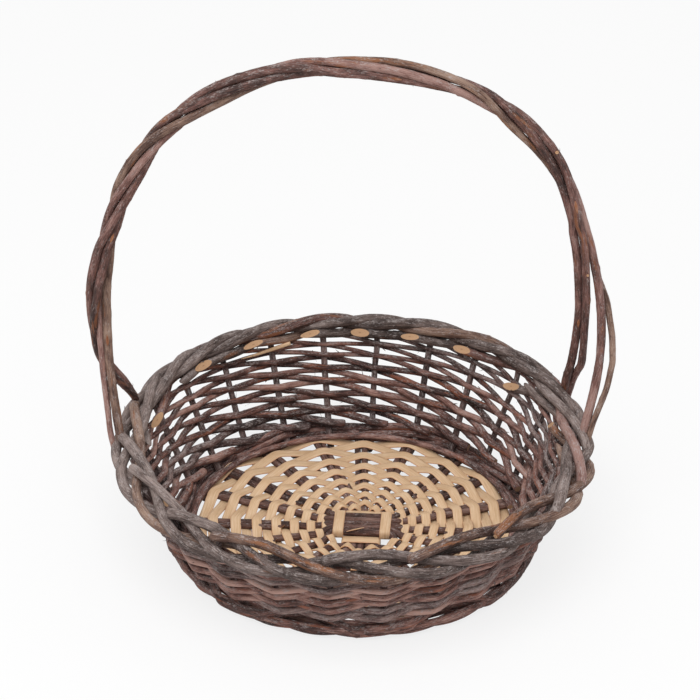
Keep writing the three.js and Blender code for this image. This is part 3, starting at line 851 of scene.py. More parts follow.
@dataclass
class Base(SubAssembly):
    """The flat base: crossed sticks, bamboo strips woven through them and their lashing.

    Its sticks lie five across five about the crossing, straight for a few places and then fanned
    out to even spokes. Liners are the thin rods beside the spokes.
    """

    sticks: int = 10
    stick_diameter: float = 4.9
    stick_tones: tuple[float, ...] = (-0.5, 0.4, 0.0, 0.6, -0.2)
    reach: float = 114.5
    turn: float = -4.0
    fan_radius: float = 28.0
    fan_places: Pair = (86.0, 52.0)
    straight_places: Triple = (19.0, 12.0, 5.0)
    crossing: Pair = (6.5, -2.0)
    level: float = 7.1
    pitch: float = 4.9
    liner_reach: float = 113.5
    liner_gap: float = 4.6
    liner_radii: Pair = (1.9, 2.35)
    thin_radius: float = 1.25
    thin_liners: tuple[int, ...] = (1, 4, 6, 11, 14, 17)
    lashing_start: float = 12.9
    lashing_width: float = 7.4
    lashing_bend: float = 2.2
    lashing_gap: float = 0.75
    weave_start: float = 21.0
    weave_end: float = 113.6
    rows: float = 15.0
    strip_width: Pair = (5.4, 7.8)
    strip_thickness: float = 0.9
    strip_gap: float = 0.25
    shingle: float = 0.12
    splinter: tuple[tuple[float, float, float, float], ...] = (
        (-4.5, -15.0, 12.55, 0.15), (-0.5, -13.6, 12.9, 0.45), (3.5, -12.2, 13.0, 0.5),
        (7.6, -10.6, 12.9, 0.2),
    )

    @property
    def spoke_gap(self) -> float:
        """Degrees between neighbouring spokes."""
        return 180.0 / self.sticks

    def around_base(self, angle: Value, radius: Value, height: Value) -> Array:
        """Points round the sticks' crossing near it, and round the basket's middle further out."""
        share = np.clip((self.reach - np.asarray(radius)) / (self.reach - self.fan_radius), None, 1.0)
        middle = [self.crossing[0] * share, self.crossing[1] * share, 0.0]
        return around(angle, radius, height) + np.stack(np.broadcast_arrays(*middle), axis=-1)

    def stick_course(self, index: int) -> Array:
        """One stick: straight where the sticks cross, fanned out to even spokes on both sides."""
        half = self.sticks // 2
        upper = index < half
        place = index % half - (half - 1) / 2
        height = self.level + (0.5 if upper else -0.5) * self.pitch
        turn = self.turn if upper else self.turn + 90.0
        spread = np.array([self.reach, *self.fan_places, self.fan_radius + 3.0])
        ends = []
        for way in (-1.0, 1.0):
            fan = turn + (180.0 - self.spoke_gap * place if way < 0.0 else self.spoke_gap * place)
            straight = way * np.array(self.straight_places)
            near = turn + np.degrees(np.arctan2(place * self.pitch, straight))
            outer = self.around_base(fan, spread, self.level)
            inner = self.around_base(near, np.hypot(place * self.pitch, straight), height)
            ends.append(np.concatenate([outer, inner]))
        thick = np.array([0.86, 0.94, 1.0, 1.0, 1.02, 1.02, 1.02])
        radius = 0.5 * self.stick_diameter * np.concatenate([thick, thick[::-1]])
        return course_of(np.concatenate([ends[0], ends[1][::-1]]), radius, step=1.6)

    def build_sticks(self) -> None:
        """Makes the base sticks."""
        for index in range(self.sticks):
            tone = self.stick_tones[index % len(self.stick_tones)]
            course = self.stick_course(index)
            rod = Rod(course, seed=100 + index, across=UP, bark=Bark(wander=0.25), tone=tone)
            name, node = f"base_rod_{index + 1:02d}", f"base_stick_{index + 1:02d}"
            self.add([rod.surface()], name, (Look.STICK, Look.DULL_CUT), "dark_bark", node)

    def build_liners(self) -> None:
        """Makes the thin rods pushed in beside the spokes, whose outer ends turn up as stakes."""
        rng = np.random.default_rng(7)
        parts = []
        for spoke in range(2 * self.sticks):
            side = 1.0 if spoke % 3 else -1.0
            radii = np.linspace(rng.uniform(46.0, 66.0), self.liner_reach, 7)
            beside = self.turn + self.spoke_gap * spoke + side * np.degrees(np.arcsin(self.liner_gap / radii))
            height = self.level + rng.uniform(-0.4, 0.2)
            points = self.around_base(beside, radii, height)
            course = course_of(points, rng.uniform(*self.liner_radii), step=1.8)
            rod = Rod(course, seed=140 + spoke, across=UP, bark=Bark(wander=0.2), sides=9)
            rod.start, rod.slant = RodEnd.SLANT, 5.0
            rod.tone = rng.uniform(-0.8, 0.6)
            parts.append(rod.surface())
        for spoke in self.thin_liners:
            angle = self.turn + self.spoke_gap * spoke + np.array([5.5, 7.0, 9.5, 11.5])
            points = self.around_base(angle, np.array([78.0, 88.0, 100.0, 112.0]), self.level - 2.2)
            course = course_of(points, self.thin_radius, step=1.8)
            parts.append(Rod(course, seed=170 + spoke, across=UP, sides=8).surface())
        self.add(parts, "base_liners", (Look.STICK, Look.CUT), "dark_bark")

    def strip_course(self, index: int) -> Array:
        """One bamboo strip: a spiral that rises and sinks past every spoke.

        The angle grows with the step, and the radius grows with the turns and is drawn in between
        spokes as a chord is. The height is the spokes' own plus the reach times a wave that
        changes sign at every spoke: straight-sided mixed with a cosine, and held flat at its
        crests. The last end stops under a spoke.
        """
        last = int(self.sticks * (self.rows - index))
        last -= (last + index + 1) % 2
        step = np.linspace(0.0, last, 12 * last + 1)
        share = (index + step / self.sticks) / self.rows
        radius = self.weave_start + (self.weave_end - self.weave_start) * (0.7 * share + 0.3 * share**2)
        chord = np.cos(np.radians(self.spoke_gap * (step % 1.0 - 0.5)))
        radius = radius * np.cos(np.radians(0.5 * self.spoke_gap)) / chord
        straight = 2.0 * np.abs((step + index) % 2.0 - 1.0) - 1.0
        swing = np.clip(0.78 * straight + 0.34 * np.cos(np.pi * (step + index)), -1.0, 1.0)
        reach = 0.5 * self.stick_diameter + 0.5 * self.strip_thickness + self.strip_gap
        points = self.around_base(self.turn + self.spoke_gap * step, radius, self.level + reach * swing)
        width = np.interp(share, (0.0, 1.0), self.strip_width)
        taper = 0.55 + 0.45 * ease((1.0 - share) * self.rows / 0.3)
        return course_of(points, 0.5 * width * taper, step=2.0)

    def build_strips(self) -> None:
        """Makes the two bamboo strips that chase each other round the base."""
        for index in range(2):
            course = self.strip_course(index)
            across = outward(course[:, :3] - np.array([*self.crossing, 0.0]) * 0.4)
            across = unit(across + np.array([0.0, 0.0, self.shingle]))
            surface = strip(course, across, self.strip_thickness, seed=1 + index)
            name, node = f"bamboo_strip_{index + 1}", f"base_strip_{index + 1}"
            self.add([surface], name, (Look.BAMBOO,), "bamboo", node)

    def build_lashings(self) -> None:
        """Makes the four turns of the lashing, each a closed strip round one side's sticks."""
        across = 0.5 * (self.sticks // 2) * self.pitch + self.lashing_gap
        tall = 0.5 * self.stick_diameter + self.lashing_gap
        corner = np.linspace(0.0, np.pi / 2.0, 6)
        loop = []
        for place, (right, up) in enumerate(((1, 1), (-1, 1), (-1, -1), (1, -1))):
            arc = corner + place * np.pi / 2.0
            wide = right * (across - self.lashing_bend) + self.lashing_bend * np.cos(arc)
            high = up * (tall - self.lashing_bend) + self.lashing_bend * np.sin(arc)
            loop.append(np.column_stack([wide, high]))
        loop = np.concatenate(loop + [loop[0][:1]])
        for quarter, name in enumerate(("right", "rear", "left", "front")):
            turn = np.radians(self.turn + 90.0 * quarter)
            ahead = np.array([np.cos(turn), np.sin(turn), 0.0])
            side = np.array([-np.sin(turn), np.cos(turn), 0.0])
            sign = 1.0 if quarter % 2 == 0 else -1.0
            centre = np.array([*self.crossing, self.level + 0.5 * sign * self.pitch])
            centre = centre + ahead * (self.lashing_start + 0.5 * self.lashing_width - 0.6)
            points = centre + loop[:, :1] * side + loop[:, 1:] * np.array(UP)
            rows = np.column_stack([points, np.full(len(points), 0.5 * self.lashing_width)])
            surface = strip(rows, ahead, self.strip_thickness, seed=11 + quarter, closed=True)
            self.add([surface], f"bamboo_lashing_{name}", (Look.BAMBOO,), "bamboo", f"lashing_{name}")

    def build_splinter(self) -> None:
        """Makes the thin bamboo splinter that lies on the crossed sticks."""
        course = spline(np.array(self.splinter), step=1.0)
        surface = strip(course, across=(0.3, -1.0, 0.1), thickness=0.45, seed=31)
        self.add([surface], "bamboo_splinter", (Look.BAMBOO,), "bamboo")

    def build(self) -> None:
        """Makes the whole base."""
        self.build_sticks()
        self.build_liners()
        self.build_strips()
        self.build_lashings()
        self.build_splinter()


@dataclass
class Wall(SubAssembly):
    """The flared wall: stakes, wale rounds at its foot and tapering rods woven up it."""

    stakes: int = 24
    phase: float = 8.5
    stake_diameter: float = 4.4
    foot_radius: float = 115.5
    flare: float = 0.455
    top: float = 75.5
    toe_radii: Triple = (105.0, 112.6, 115.8)
    weave_start: float = 18.2
    first_rise: float = 4.1
    rise_loss: float = 0.034
    strokes: float = 14.2
    butt_diameter: float = 4.75
    tip_diameter: float = 2.6
    sharpness: float = 0.92
    levelling: tuple[Triple, Triple] = ((-0.8, -0.2, 0.4), (0.15, 0.6, 0.72))
    # Painted light and shade on the weave by side of the basket: lighter at the front, a little lighter at
    # the sides, darker at the back.
    painted_side_light: Triple = (0.65, 0.2, -0.2)
    rear_lift: float = 8.3
    weaver_bark: Bark = Bark(lump=0.06, knot_gap=30.0, wander=0.25)
    dark_groups: tuple[int, ...] = (2, 5)
    wale_heights: Pair = (9.7, 14.0)
    wale_diameter: float = 4.9
    foot_bark: Bark = Bark(wander=0.1)
    rope_diameter: float = 4.7
    rope_radius: float = 121.4
    rope_level: float = 5.25
    rope_swing: Pair = (2.0, 1.85)
    foot_spread: Triple = (300.0, 34.0, 2.2)
    rings: tuple[Triple, ...] = ((114.8, 7.1, 2.5), (125.0, 9.0, 2.5), (109.6, 12.1, 2.15))
    taken: tuple[int, ...] = (2, 11, 12, 24)

    @property
    def lean(self) -> float:
        """The wall's angle from upright, in radians."""
        return float(np.arctan(self.flare))

    def stake_angle(self, index: Value) -> Array:
        """The angle of a stake, or of a place between stakes, by its number."""
        return self.phase + np.asarray(index, float) * 360.0 / self.stakes

    def radius_at(self, height: Value) -> Array:
        """The stakes' own radius at a height."""
        return self.foot_radius + self.flare * np.asarray(height, float)

    @staticmethod
    def rear(angle: Array) -> Array:
        """How far an angle is towards the back: 0 at the sides and the front, 1 at the back."""
        return ease(np.sin(np.radians(angle)) / 0.5 - 0.3)

    def off_wall(self, angle: Array, height: Array, offset: Array) -> Array:
        """Points off the stakes' surface, square to it: positive is outside the wall."""
        radius = self.radius_at(height) + offset * np.cos(self.lean) + self.spread(angle, height)
        return around(angle, radius, height - offset * np.sin(self.lean))

    def spread(self, angle: Array, height: Value) -> Array:
        """How much wider the wall stands towards its foot at the right of the front."""
        side, width, most = self.foot_spread
        apart = (angle - side + 180.0) % 360.0 - 180.0
        return most * bell(apart, 0.0, width) * ease(1.25 - np.asarray(height) / 60.0)

    def swing(self, passed: Array) -> Array:
        """In and out past the stakes: a cosine mixed with a straight-sided wave of its period."""
        straight = 1.0 - 2.0 * np.abs((passed % 2.0) - 1.0)
        return (1.0 - self.sharpness) * np.cos(np.pi * passed) - self.sharpness * straight

    def build_stakes(self) -> None:
        """Makes the stakes, from their toes under the base to their tops inside the border."""
        rng = np.random.default_rng(21)
        for index in range(self.stakes):
            angle = float(self.stake_angle(index)) + rng.uniform(-0.5, 0.5)
            top = self.top + 4.5 * float(self.rear(angle))
            heights = np.array([3.2, 3.1, 4.4, 12.0, 30.0, 52.0, top - 7.0, top - 0.5])
            radii = self.radius_at(heights)
            radii[:3] = self.toe_radii
            turn = angle + np.array([0.0, 0.0, 0.0, 0.0, 0.3, 0.1, 0.2, 1.4]) * rng.uniform(-0.4, 1.2)
            size = 0.5 * self.stake_diameter * rng.uniform(0.9, 1.12) * np.linspace(1.04, 0.94, 8)
            course = course_of(around(turn, radii, heights), size, step=1.6)
            across = tuple(around(angle + 90.0, 1.0, 0.0))
            rod = Rod(course, seed=300 + index, across=across, bark=Bark(wander=0.3), sides=11, caps=(0, 0))
            rod.tone = rng.uniform(-0.9, 0.1)
            number = index + 1
            nodes = () if number in self.taken else (f"stake_{number:02d}",)
            looks = (Look.DARK_WEAVE, Look.DULL_CUT)
            self.add([rod.surface()], f"wall_stake_{number:02d}", looks, "grey_bark", *nodes)

    def weaver_course(self, start: int, rng: np.random.Generator) -> Array:
        """One tapering rod: it climbs as it passes inside and outside the stakes by turns.

        With the stakes passed as s, the height is the start plus the rise times s less the loss
        times the square of s, and the offset is the reach times the swing. Its butt lies loose on
        the inside. It goes in and out nearly square to the wall at the front and more level
        further back, where the rods also stand a little further apart, under a higher border.
        """
        first = rng.uniform(-0.62, -0.36)
        passed = np.arange(first, self.strokes + rng.uniform(-0.5, 0.3), 1.0 / 14.0)
        share = np.clip(passed / self.strokes, 0.0, 1.0)
        angle = self.stake_angle(start + passed)
        rear = self.rear(angle)
        climb = self.weave_start + self.first_rise * passed - self.rise_loss * passed**2
        climb = climb + 0.8 * wave(passed, 1.7, rng) + rng.uniform(-0.45, 0.45)
        climb = climb + self.rear_lift * share * rear
        size = self.butt_diameter + (self.tip_diameter - self.butt_diameter) * share**0.85
        size = size * rng.uniform(0.9, 1.1) * (1.0 + 0.05 * wave(passed, 1.3, rng)) * (1.08 + 0.07 * rear)
        reach = 0.5 * (self.stake_diameter + size) * 0.98
        offset = -reach * self.swing(passed) + 0.35 * wave(passed, 1.1, rng)
        offset = offset - 3.3 * (1.0 - ease((passed - first) / 0.5))
        level = np.interp(np.sin(np.radians(angle)), *self.levelling)
        points = self.off_wall(angle, climb + level * offset * np.sin(self.lean), offset)
        return course_of(points, 0.5 * size, step=1.7)

    def build_weavers(self) -> None:
        """Makes the tapering rods of the side weave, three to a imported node."""
        rng = np.random.default_rng(5)
        for group in range(self.stakes // 3):
            parts = []
            for start in range(3 * group, 3 * group + 3):
                course = self.weaver_course(start, rng)
                self.courses.append(course)
                rod = Rod(course, seed=400 + start, bark=self.weaver_bark, sides=11, end=RodEnd.WORN)
                rod.tone, rod.tone_drift = rng.uniform(-0.8, 0.8), 0.7
                # Painted light and shade by side of the basket is added to the rod's tone here.
                parts.append(rod.surface().facing(*self.painted_side_light))
            looks = (Look.DARK_WEAVE if group in self.dark_groups else Look.WEAVE, Look.DULL_CUT)
            name, slot = f"weaving_rods_{group + 1}", ("red_bark", "dark_bark")[group % 2]
            self.add(parts, name, looks, slot, f"weaver_{group + 1:02d}")

    def wale_course(self, start: float, height: float, size: float, rng: np.random.Generator) -> Array:
        """One rod of a wale round: outside two stakes and inside one, over and over.

        The offset is a cosine with a period of three stakes, shifted outwards by a third. The rod
        rises by its own thickness while it is outside and sinks again behind the stake.
        """
        passed = np.arange(0.0, self.stakes - 0.3, 1.0 / 12.0)
        cycle = 2.0 * np.pi * (passed + start) / 3.0
        reach = 0.5 * (self.stake_diameter + size) + 0.2
        offset = reach * np.clip(1.45 * np.cos(cycle) + 0.55, -1.0, 1.12)
        climb = height + 0.42 * size * np.sin(cycle - 0.4) + 0.25 * wave(passed, 1.4, rng)
        points = self.off_wall(self.stake_angle(passed + start), climb, offset)
        return course_of(points, 0.5 * size * (1.0 + 0.06 * wave(passed, 2.2, rng)), step=1.8)

    def build_wales(self, rng: np.random.Generator) -> None:
        """Makes the wale rounds at the wall's foot."""
        for index, height in enumerate(self.wale_heights):
            parts = []
            for member in range(3):
                course = self.wale_course(member + 0.5 * index, height, self.wale_diameter, rng)
                self.courses.append(course)
                rod = Rod(course, seed=500 + 10 * index + member, bark=Bark(lump=0.06), sides=11)
                rod.tone = rng.uniform(-0.7, 0.5)
                parts.append(rod.surface())
            looks = (Look.WEAVE, Look.CUT)
            self.add(parts, f"wale_rods_{index + 1}", looks, "bark", f"wale_{index + 1}")

    def build_foot(self, rng: np.random.Generator) -> None:
        """Makes the rope of two rods that the basket stands on, and the plain rods over it."""
        parts = []
        for member in range(2):
            passed = np.arange(0.0, self.stakes - 0.12, 1.0 / 12.0)
            turn = np.pi * (passed + member)
            angle = self.stake_angle(passed)
            ring = self.rope_radius + self.rope_swing[0] * np.cos(turn) + self.spread(angle, 0.0)
            points = around(angle, ring, self.rope_level + self.rope_swing[1] * np.sin(turn + 0.5))
            sizes = 0.5 * self.rope_diameter * (1.0 + 0.04 * wave(passed, 2.0, rng))
            course = course_of(points, sizes, step=1.8)
            rod = Rod(course, seed=540 + member, bark=self.foot_bark, tone=-0.4)
            parts.append(rod.surface())
        for member, (ring, level, size) in enumerate(self.rings):
            passed = np.arange(0.0, self.stakes - 0.1, 1.0 / 12.0)
            height = level + 0.35 * wave(passed, 1.5, rng)
            angle = self.stake_angle(passed)
            points = around(angle, ring + 0.3 * wave(passed, 1.2, rng) + self.spread(angle, 0.0), height)
            course = course_of(points, size, step=1.8)
            rod = Rod(course, seed=545 + member, bark=self.foot_bark, sides=10)
            parts.append(rod.surface())
        self.add(parts, "foot_rope", (Look.WEAVE, Look.DULL_CUT), "bark", "foot_round")

    def build_splinter(self) -> None:
        """Makes the pale splinter caught between the top rods at the back."""
        angles = np.array([123.5, 119.0, 113.5, 108.4])
        points = around(angles, (143.6, 141.4, 141.2, 141.6), (69.8, 71.2, 72.6, 74.2))
        course = course_of(points, (0.15, 0.9, 1.35, 1.4), step=1.5)
        surface = strip(course, across=(0.0, 0.35, 1.0), thickness=0.9, seed=33)
        self.add([surface], "wood_splinter", (Look.BAMBOO,), "bamboo")

    def build_sprigs(self) -> None:
        """Makes the stubs of side shoots on the weavers and the loose fibres on weavers and wales."""
        stubs = sprigs(self.courses[:self.stakes], count=230, seed=61, length=2.6, radius=0.62)
        fibres = sprigs(self.courses, count=330, seed=62, length=5.0, radius=0.24)
        self.add([stubs, fibres], "weave_sprigs", (Look.DARK_WEAVE,), "dark_bark")

    def build(self) -> None:
        """Makes the whole wall."""
        self.build_stakes()
        self.build_weavers()
        rng = np.random.default_rng(9)
        self.build_wales(rng)
        self.build_foot(rng)
        self.build_splinter()
        self.build_sprigs()


@dataclass
class Border(SubAssembly):
    """The plaited border: one thick rod for each stake, blunt outside and cut on a slant inside.

    The route gives places along it in stakes, and how far out and up the rod lies there, in
    reaches and pitches. By the rod's number from 0 are kept late starts in stakes, hanging ends
    as a step further along and a drop, and turned ends, whose cuts face down and outwards
    where the others face up and inwards.
    """

    wall: Wall | None = None
    # Painted light and shade on the border by side of the basket: darker at the front, lighter at the sides,
    # a little darker at the back.
    painted_side_light: Triple = (-0.65, 0.75, -0.2)
    bark: Bark = Bark(lump=0.03, knot_gap=70.0, wander=0.3)
    rod_diameter: float = 6.8
    pitch: float = 6.92
    reach: float = 6.92
    evening: float = 0.42
    rear_lift: float = 0.69
    route: tuple[Triple, ...] = (
        (0.2, 0.95, 0.72), (0.45, 0.62, 0.98), (0.75, 0.18, 1.15), (1.0, -0.25, 1.17), (1.5, -0.78, 0.95),
        (2.0, -0.96, 0.4), (2.5, -0.3, -0.02), (3.0, 0.95, 0.02), (3.5, 1.57, -0.3), (4.0, 1.23, -0.96),
        (4.5, -0.03, -1.03), (5.0, -1.29, -0.75), (5.45, -1.39, -0.68),
    )
    rear_route: tuple[Pair, ...] = (
        (1.25, 0.05), (1.02, 0.34), (0.6, 0.72), (0.05, 0.97), (-0.62, 0.86), (-0.72, 0.4), (-0.1, 0.0),
        (1.0, 0.02), (1.5, -0.3), (1.15, -0.85), (-0.2, -0.88), (-1.36, -0.32), (-1.4, 0.06),
    )
    late_starts: ClassVar[dict[int, float]] = {
        12: 0.08, 13: 0.54, 14: 0.53, 15: 1.2, 16: 0.48, 17: 1.1, 18: -0.16, 19: 0.42, 20: 1.0,
    }
    hanging_ends: ClassVar[dict[int, Pair]] = {
        21: (-0.3, 1.3), 5: (0.2, 0.2), 3: (0.35, 0.0), 2: (0.25, -0.1), 1: (0.1, -0.1), 19: (0.0, 0.25),
    }
    turned_ends: tuple[int, ...] = (4, 6, 7, 18, 20)
    bulge: Triple = (342.0, 14.0, 0.3)
    bulge_growth: float = 0.09
    cut_turns: Pair = (232.0, 45.0)
    cut_lengths: Pair = (12.0, 15.0)
    long_cut: int = 19
    long_slant: float = 9.0
    looks: tuple[Look, ...] = (Look.BORDER, Look.TAN_BORDER, Look.HANDLE)
    barks: tuple[int, ...] = (0, 0, 1, 0, 0, 2, 0, 0, 0, 0, 1, 0, 0, 0, 1, 0, 0, 0, 1, 1, 0, 0, 2, 0)

    def course(self, index: int, rng: np.random.Generator) -> Array:
        """One border rod along the plait's route, with its own thickness.

        A late start moves the route's early places on and lays them lower, and one later than
        nine tenths of a stake is tucked into the middle of the plait. At the back the plait is
        flatter and stands a little higher. All round but for the front the starts are tucked low
        outside. The route is evened out over nearby places.
        """
        passed, out, up = np.array(self.route).T
        rear = self.wall.rear(self.wall.stake_angle(index + passed))
        out_back, up_back = np.array(self.rear_route).T
        out = out + rear * (out_back - out)
        up = up + rear * (up_back - up + self.rear_lift)
        late = self.late_starts.get(index, rng.uniform(-0.12, 0.12))
        tuck = 0.0 if index in self.late_starts else 1.0
        out[:2] += np.array([0.16, 0.08]) * tuck
        up[:2] -= np.array([1.0, 0.4]) * tuck
        if 0.3 < late < 0.9:
            early = np.clip((3.0 - passed) / 2.55, 0.0, 1.0)
            passed, out, up = passed + late * early, out - 0.12 * early, up - 0.24 * early
        shift, drop = self.hanging_ends.get(index, (0.0, 0.0))
        begin = 0.45 + late - 0.25 * tuck
        place = np.linspace(begin, passed[-1] + shift + rng.uniform(-0.1, 0.12), 26)
        near = place + self.evening * np.linspace(-1.0, 1.0, 7)[:, None] * self.end_share(place)
        out = 1.08 * np.interp(near, passed, out).mean(axis=0)
        up = 1.04 * np.interp(near, passed, up).mean(axis=0)
        if late > 0.9:
            tucked = 0.9 * np.clip(1.0 - (place - begin) / 0.9, 0.0, 1.0) ** 2
            out, up = out + tucked * (-0.15 - out), up + tucked * (-0.35 - up)
        hang = ease((place - place[-1] + 1.3) / 1.3)
        out, up = out - 0.35 * drop * hang, up - drop * hang
        angle = self.wall.stake_angle(index + place)
        swollen = bell(angle % 360.0, *self.bulge[:2])
        radius = self.wall.radius_at(self.wall.top) + (out + self.bulge[2] * swollen) * self.reach
        points = around(angle, radius, self.wall.top + up * self.pitch)
        size = 0.5 * self.rod_diameter * rng.uniform(0.92, 1.1)
        sizes = size * (1.0 + 0.05 * wave(place, 1.2, rng)) * np.interp(place, (4.3, 5.5), (1.0, 0.76))
        return course_of(points, sizes * (1.0 + self.bulge_growth * swollen), step=1.5)

    @staticmethod
    def end_share(place: Array) -> Array:
        """How freely the route is evened out: not at its ends, and fully half a stake inside them."""
        return np.clip(2.0 * np.minimum(place - place[0], place[-1] - place), 0.0, 1.0)

    def build(self) -> None:
        """Makes the border's rods."""
        rng = np.random.default_rng(33)
        for index in range(self.wall.stakes):
            course = self.course(index, rng)
            self.courses.append(course)
            rod = Rod(course, seed=600 + index, bark=self.bark, sides=16)
            rod.start, rod.end = RodEnd.WORN, RodEnd.SLANT
            rod.caps = (int(index == self.long_cut), 1)
            rod.slant = self.long_slant if index == self.long_cut else rng.uniform(*self.cut_lengths)
            rod.slant_turn = self.cut_turns[index in self.turned_ends] + rng.uniform(-18.0, 18.0)
            rod.tone, rod.tone_drift = rng.uniform(-0.6, 0.6), 0.35
            number = index + 1
            node = ("border_strand_" if number in self.wall.taken else "stake_") + f"{number:02d}"
            looks = (self.looks[self.barks[index]], Look.CUT)
            # Painted light and shade by side of the basket is added to the rod's tone here.
            skin = rod.surface().facing(*self.painted_side_light)
            self.add([skin], f"border_rod_{number:02d}", looks, "grey_bark", node)
        shoots = sprigs(self.courses, count=90, seed=71, length=2.4, radius=0.5)
        self.add([shoots], "border_sprigs", (Look.BORDER,), "grey_bark")


@dataclass(frozen=True)
class TwistedRod:
    """One rod of the handle.

    Attributes:
        radius: How far it keeps from the twist's middle line.
        tone: Its own shade.
        diameters: Its thickness at even places from its left end to its right one.
        left: Points of its left end, from the border up to the twist.
        right: Points of its right end, from the twist down to the border.
    """

    radius: float
    tone: float
    diameters: tuple[float, ...]
    left: tuple[Triple, ...]
    right: tuple[Triple, ...]


# Points at the handle's feet, listed one by one; the twist between them is worked out

TWISTED_RODS = (
    TwistedRod(
        5.0, 0.2, (5.4, 6.2, 6.2, 5.6, 5.1),
        (
            (-148.5, 57.5, 72.0), (-151.8, 53.0, 82.1), (-157.3, 46.0, 97.3), (-162.4, 42.0, 106.6),
            (-167.4, 39.0, 115.2), (-171.4, 37.0, 123.2), (-174.6, 35.0, 137.9), (-175.9, 33.0, 152.5),
            (-176.0, 31.0, 167.0), (-175.0, 28.0, 181.9), (-172.3, 27.0, 195.6),
        ),
        (
            (151.0, 25.5, 222.4), (153.6, 26.0, 209.2), (154.9, 26.5, 195.8), (156.0, 28.0, 168.7),
            (156.2, 33.5, 138.8), (155.9, 38.0, 122.6), (155.5, 42.0, 112.1), (153.8, 49.0, 102.4),
            (151.6, 56.0, 91.3), (149.0, 60.0, 78.0), (147.5, 61.5, 70.0),
        ),
    ),
    TwistedRod(
        3.7, -0.3, (4.9, 6.0, 5.5, 5.7, 5.9),
        (
            (-148.5, 52.5, 74.0), (-151.8, 48.0, 84.4), (-155.1, 45.0, 91.0), (-159.9, 41.0, 99.0),
            (-163.1, 39.0, 104.3), (-167.4, 37.0, 112.3), (-172.4, 33.0, 125.6), (-174.2, 29.0, 141.4),
            (-174.2, 26.5, 156.2), (-171.8, 25.0, 170.4), (-169.5, 24.5, 183.8), (-165.6, 25.0, 196.7),
        ),
        (
            (145.7, 30.5, 219.7), (148.2, 30.5, 206.7), (150.1, 31.0, 193.4), (151.6, 33.0, 165.8),
            (151.3, 37.5, 136.4), (149.9, 42.5, 120.0), (148.5, 47.5, 106.1), (146.4, 53.0, 93.1),
            (145.7, 59.0, 79.8), (145.2, 61.5, 71.0),
        ),
    ),
    TwistedRod(
        5.0, 0.5, (6.0, 5.9, 5.1, 4.7, 4.1),
        (
            (-156.2, 0.5, 71.0), (-157.9, 4.0, 81.7), (-160.6, 11.0, 97.9), (-162.5, 16.0, 108.5),
            (-164.0, 21.0, 119.1), (-164.9, 24.5, 130.6), (-165.2, 27.0, 142.5), (-165.4, 29.0, 154.8),
            (-165.4, 30.0, 167.5), (-164.6, 31.0, 180.2), (-162.7, 31.5, 193.1),
        ),
        (
            (157.6, 35.5, 205.0), (161.7, 35.0, 191.2), (165.8, 34.0, 178.5), (170.1, 31.5, 166.7),
            (172.1, 28.0, 155.4), (174.0, 24.0, 144.3), (174.6, 20.0, 133.2), (174.8, 18.0, 127.6),
            (173.8, 16.0, 122.1), (171.4, 12.5, 110.6), (167.2, 8.5, 99.5), (162.7, 5.0, 87.9),
            (159.6, 2.0, 78.8), (157.0, 0.0, 70.0),
        ),
    ),
    TwistedRod(
        3.7, 0.9, (4.0, 5.2, 5.6, 5.8, 6.1),
        (
            (-161.5, -1.0, 70.0), (-163.5, 2.0, 78.8), (-166.0, 12.0, 97.3), (-167.7, 17.0, 107.9),
            (-169.0, 21.0, 119.1), (-169.7, 25.0, 130.3), (-170.6, 28.0, 142.0), (-170.4, 31.0, 153.6),
            (-170.5, 33.5, 165.5), (-170.5, 35.0, 178.0), (-169.1, 35.0, 191.2),
        ),
        (
            (158.7, 30.0, 207.0), (161.4, 29.5, 194.2), (163.9, 28.5, 181.6), (165.5, 27.0, 169.2),
            (166.6, 25.0, 157.1), (166.9, 22.5, 145.2), (166.6, 20.0, 133.2), (165.5, 17.0, 121.5),
            (163.4, 14.0, 109.7), (160.4, 10.5, 98.2), (157.1, 7.0, 86.7), (155.8, 5.0, 81.1),
            (153.8, 3.0, 71.0),
        ),
    ),
)


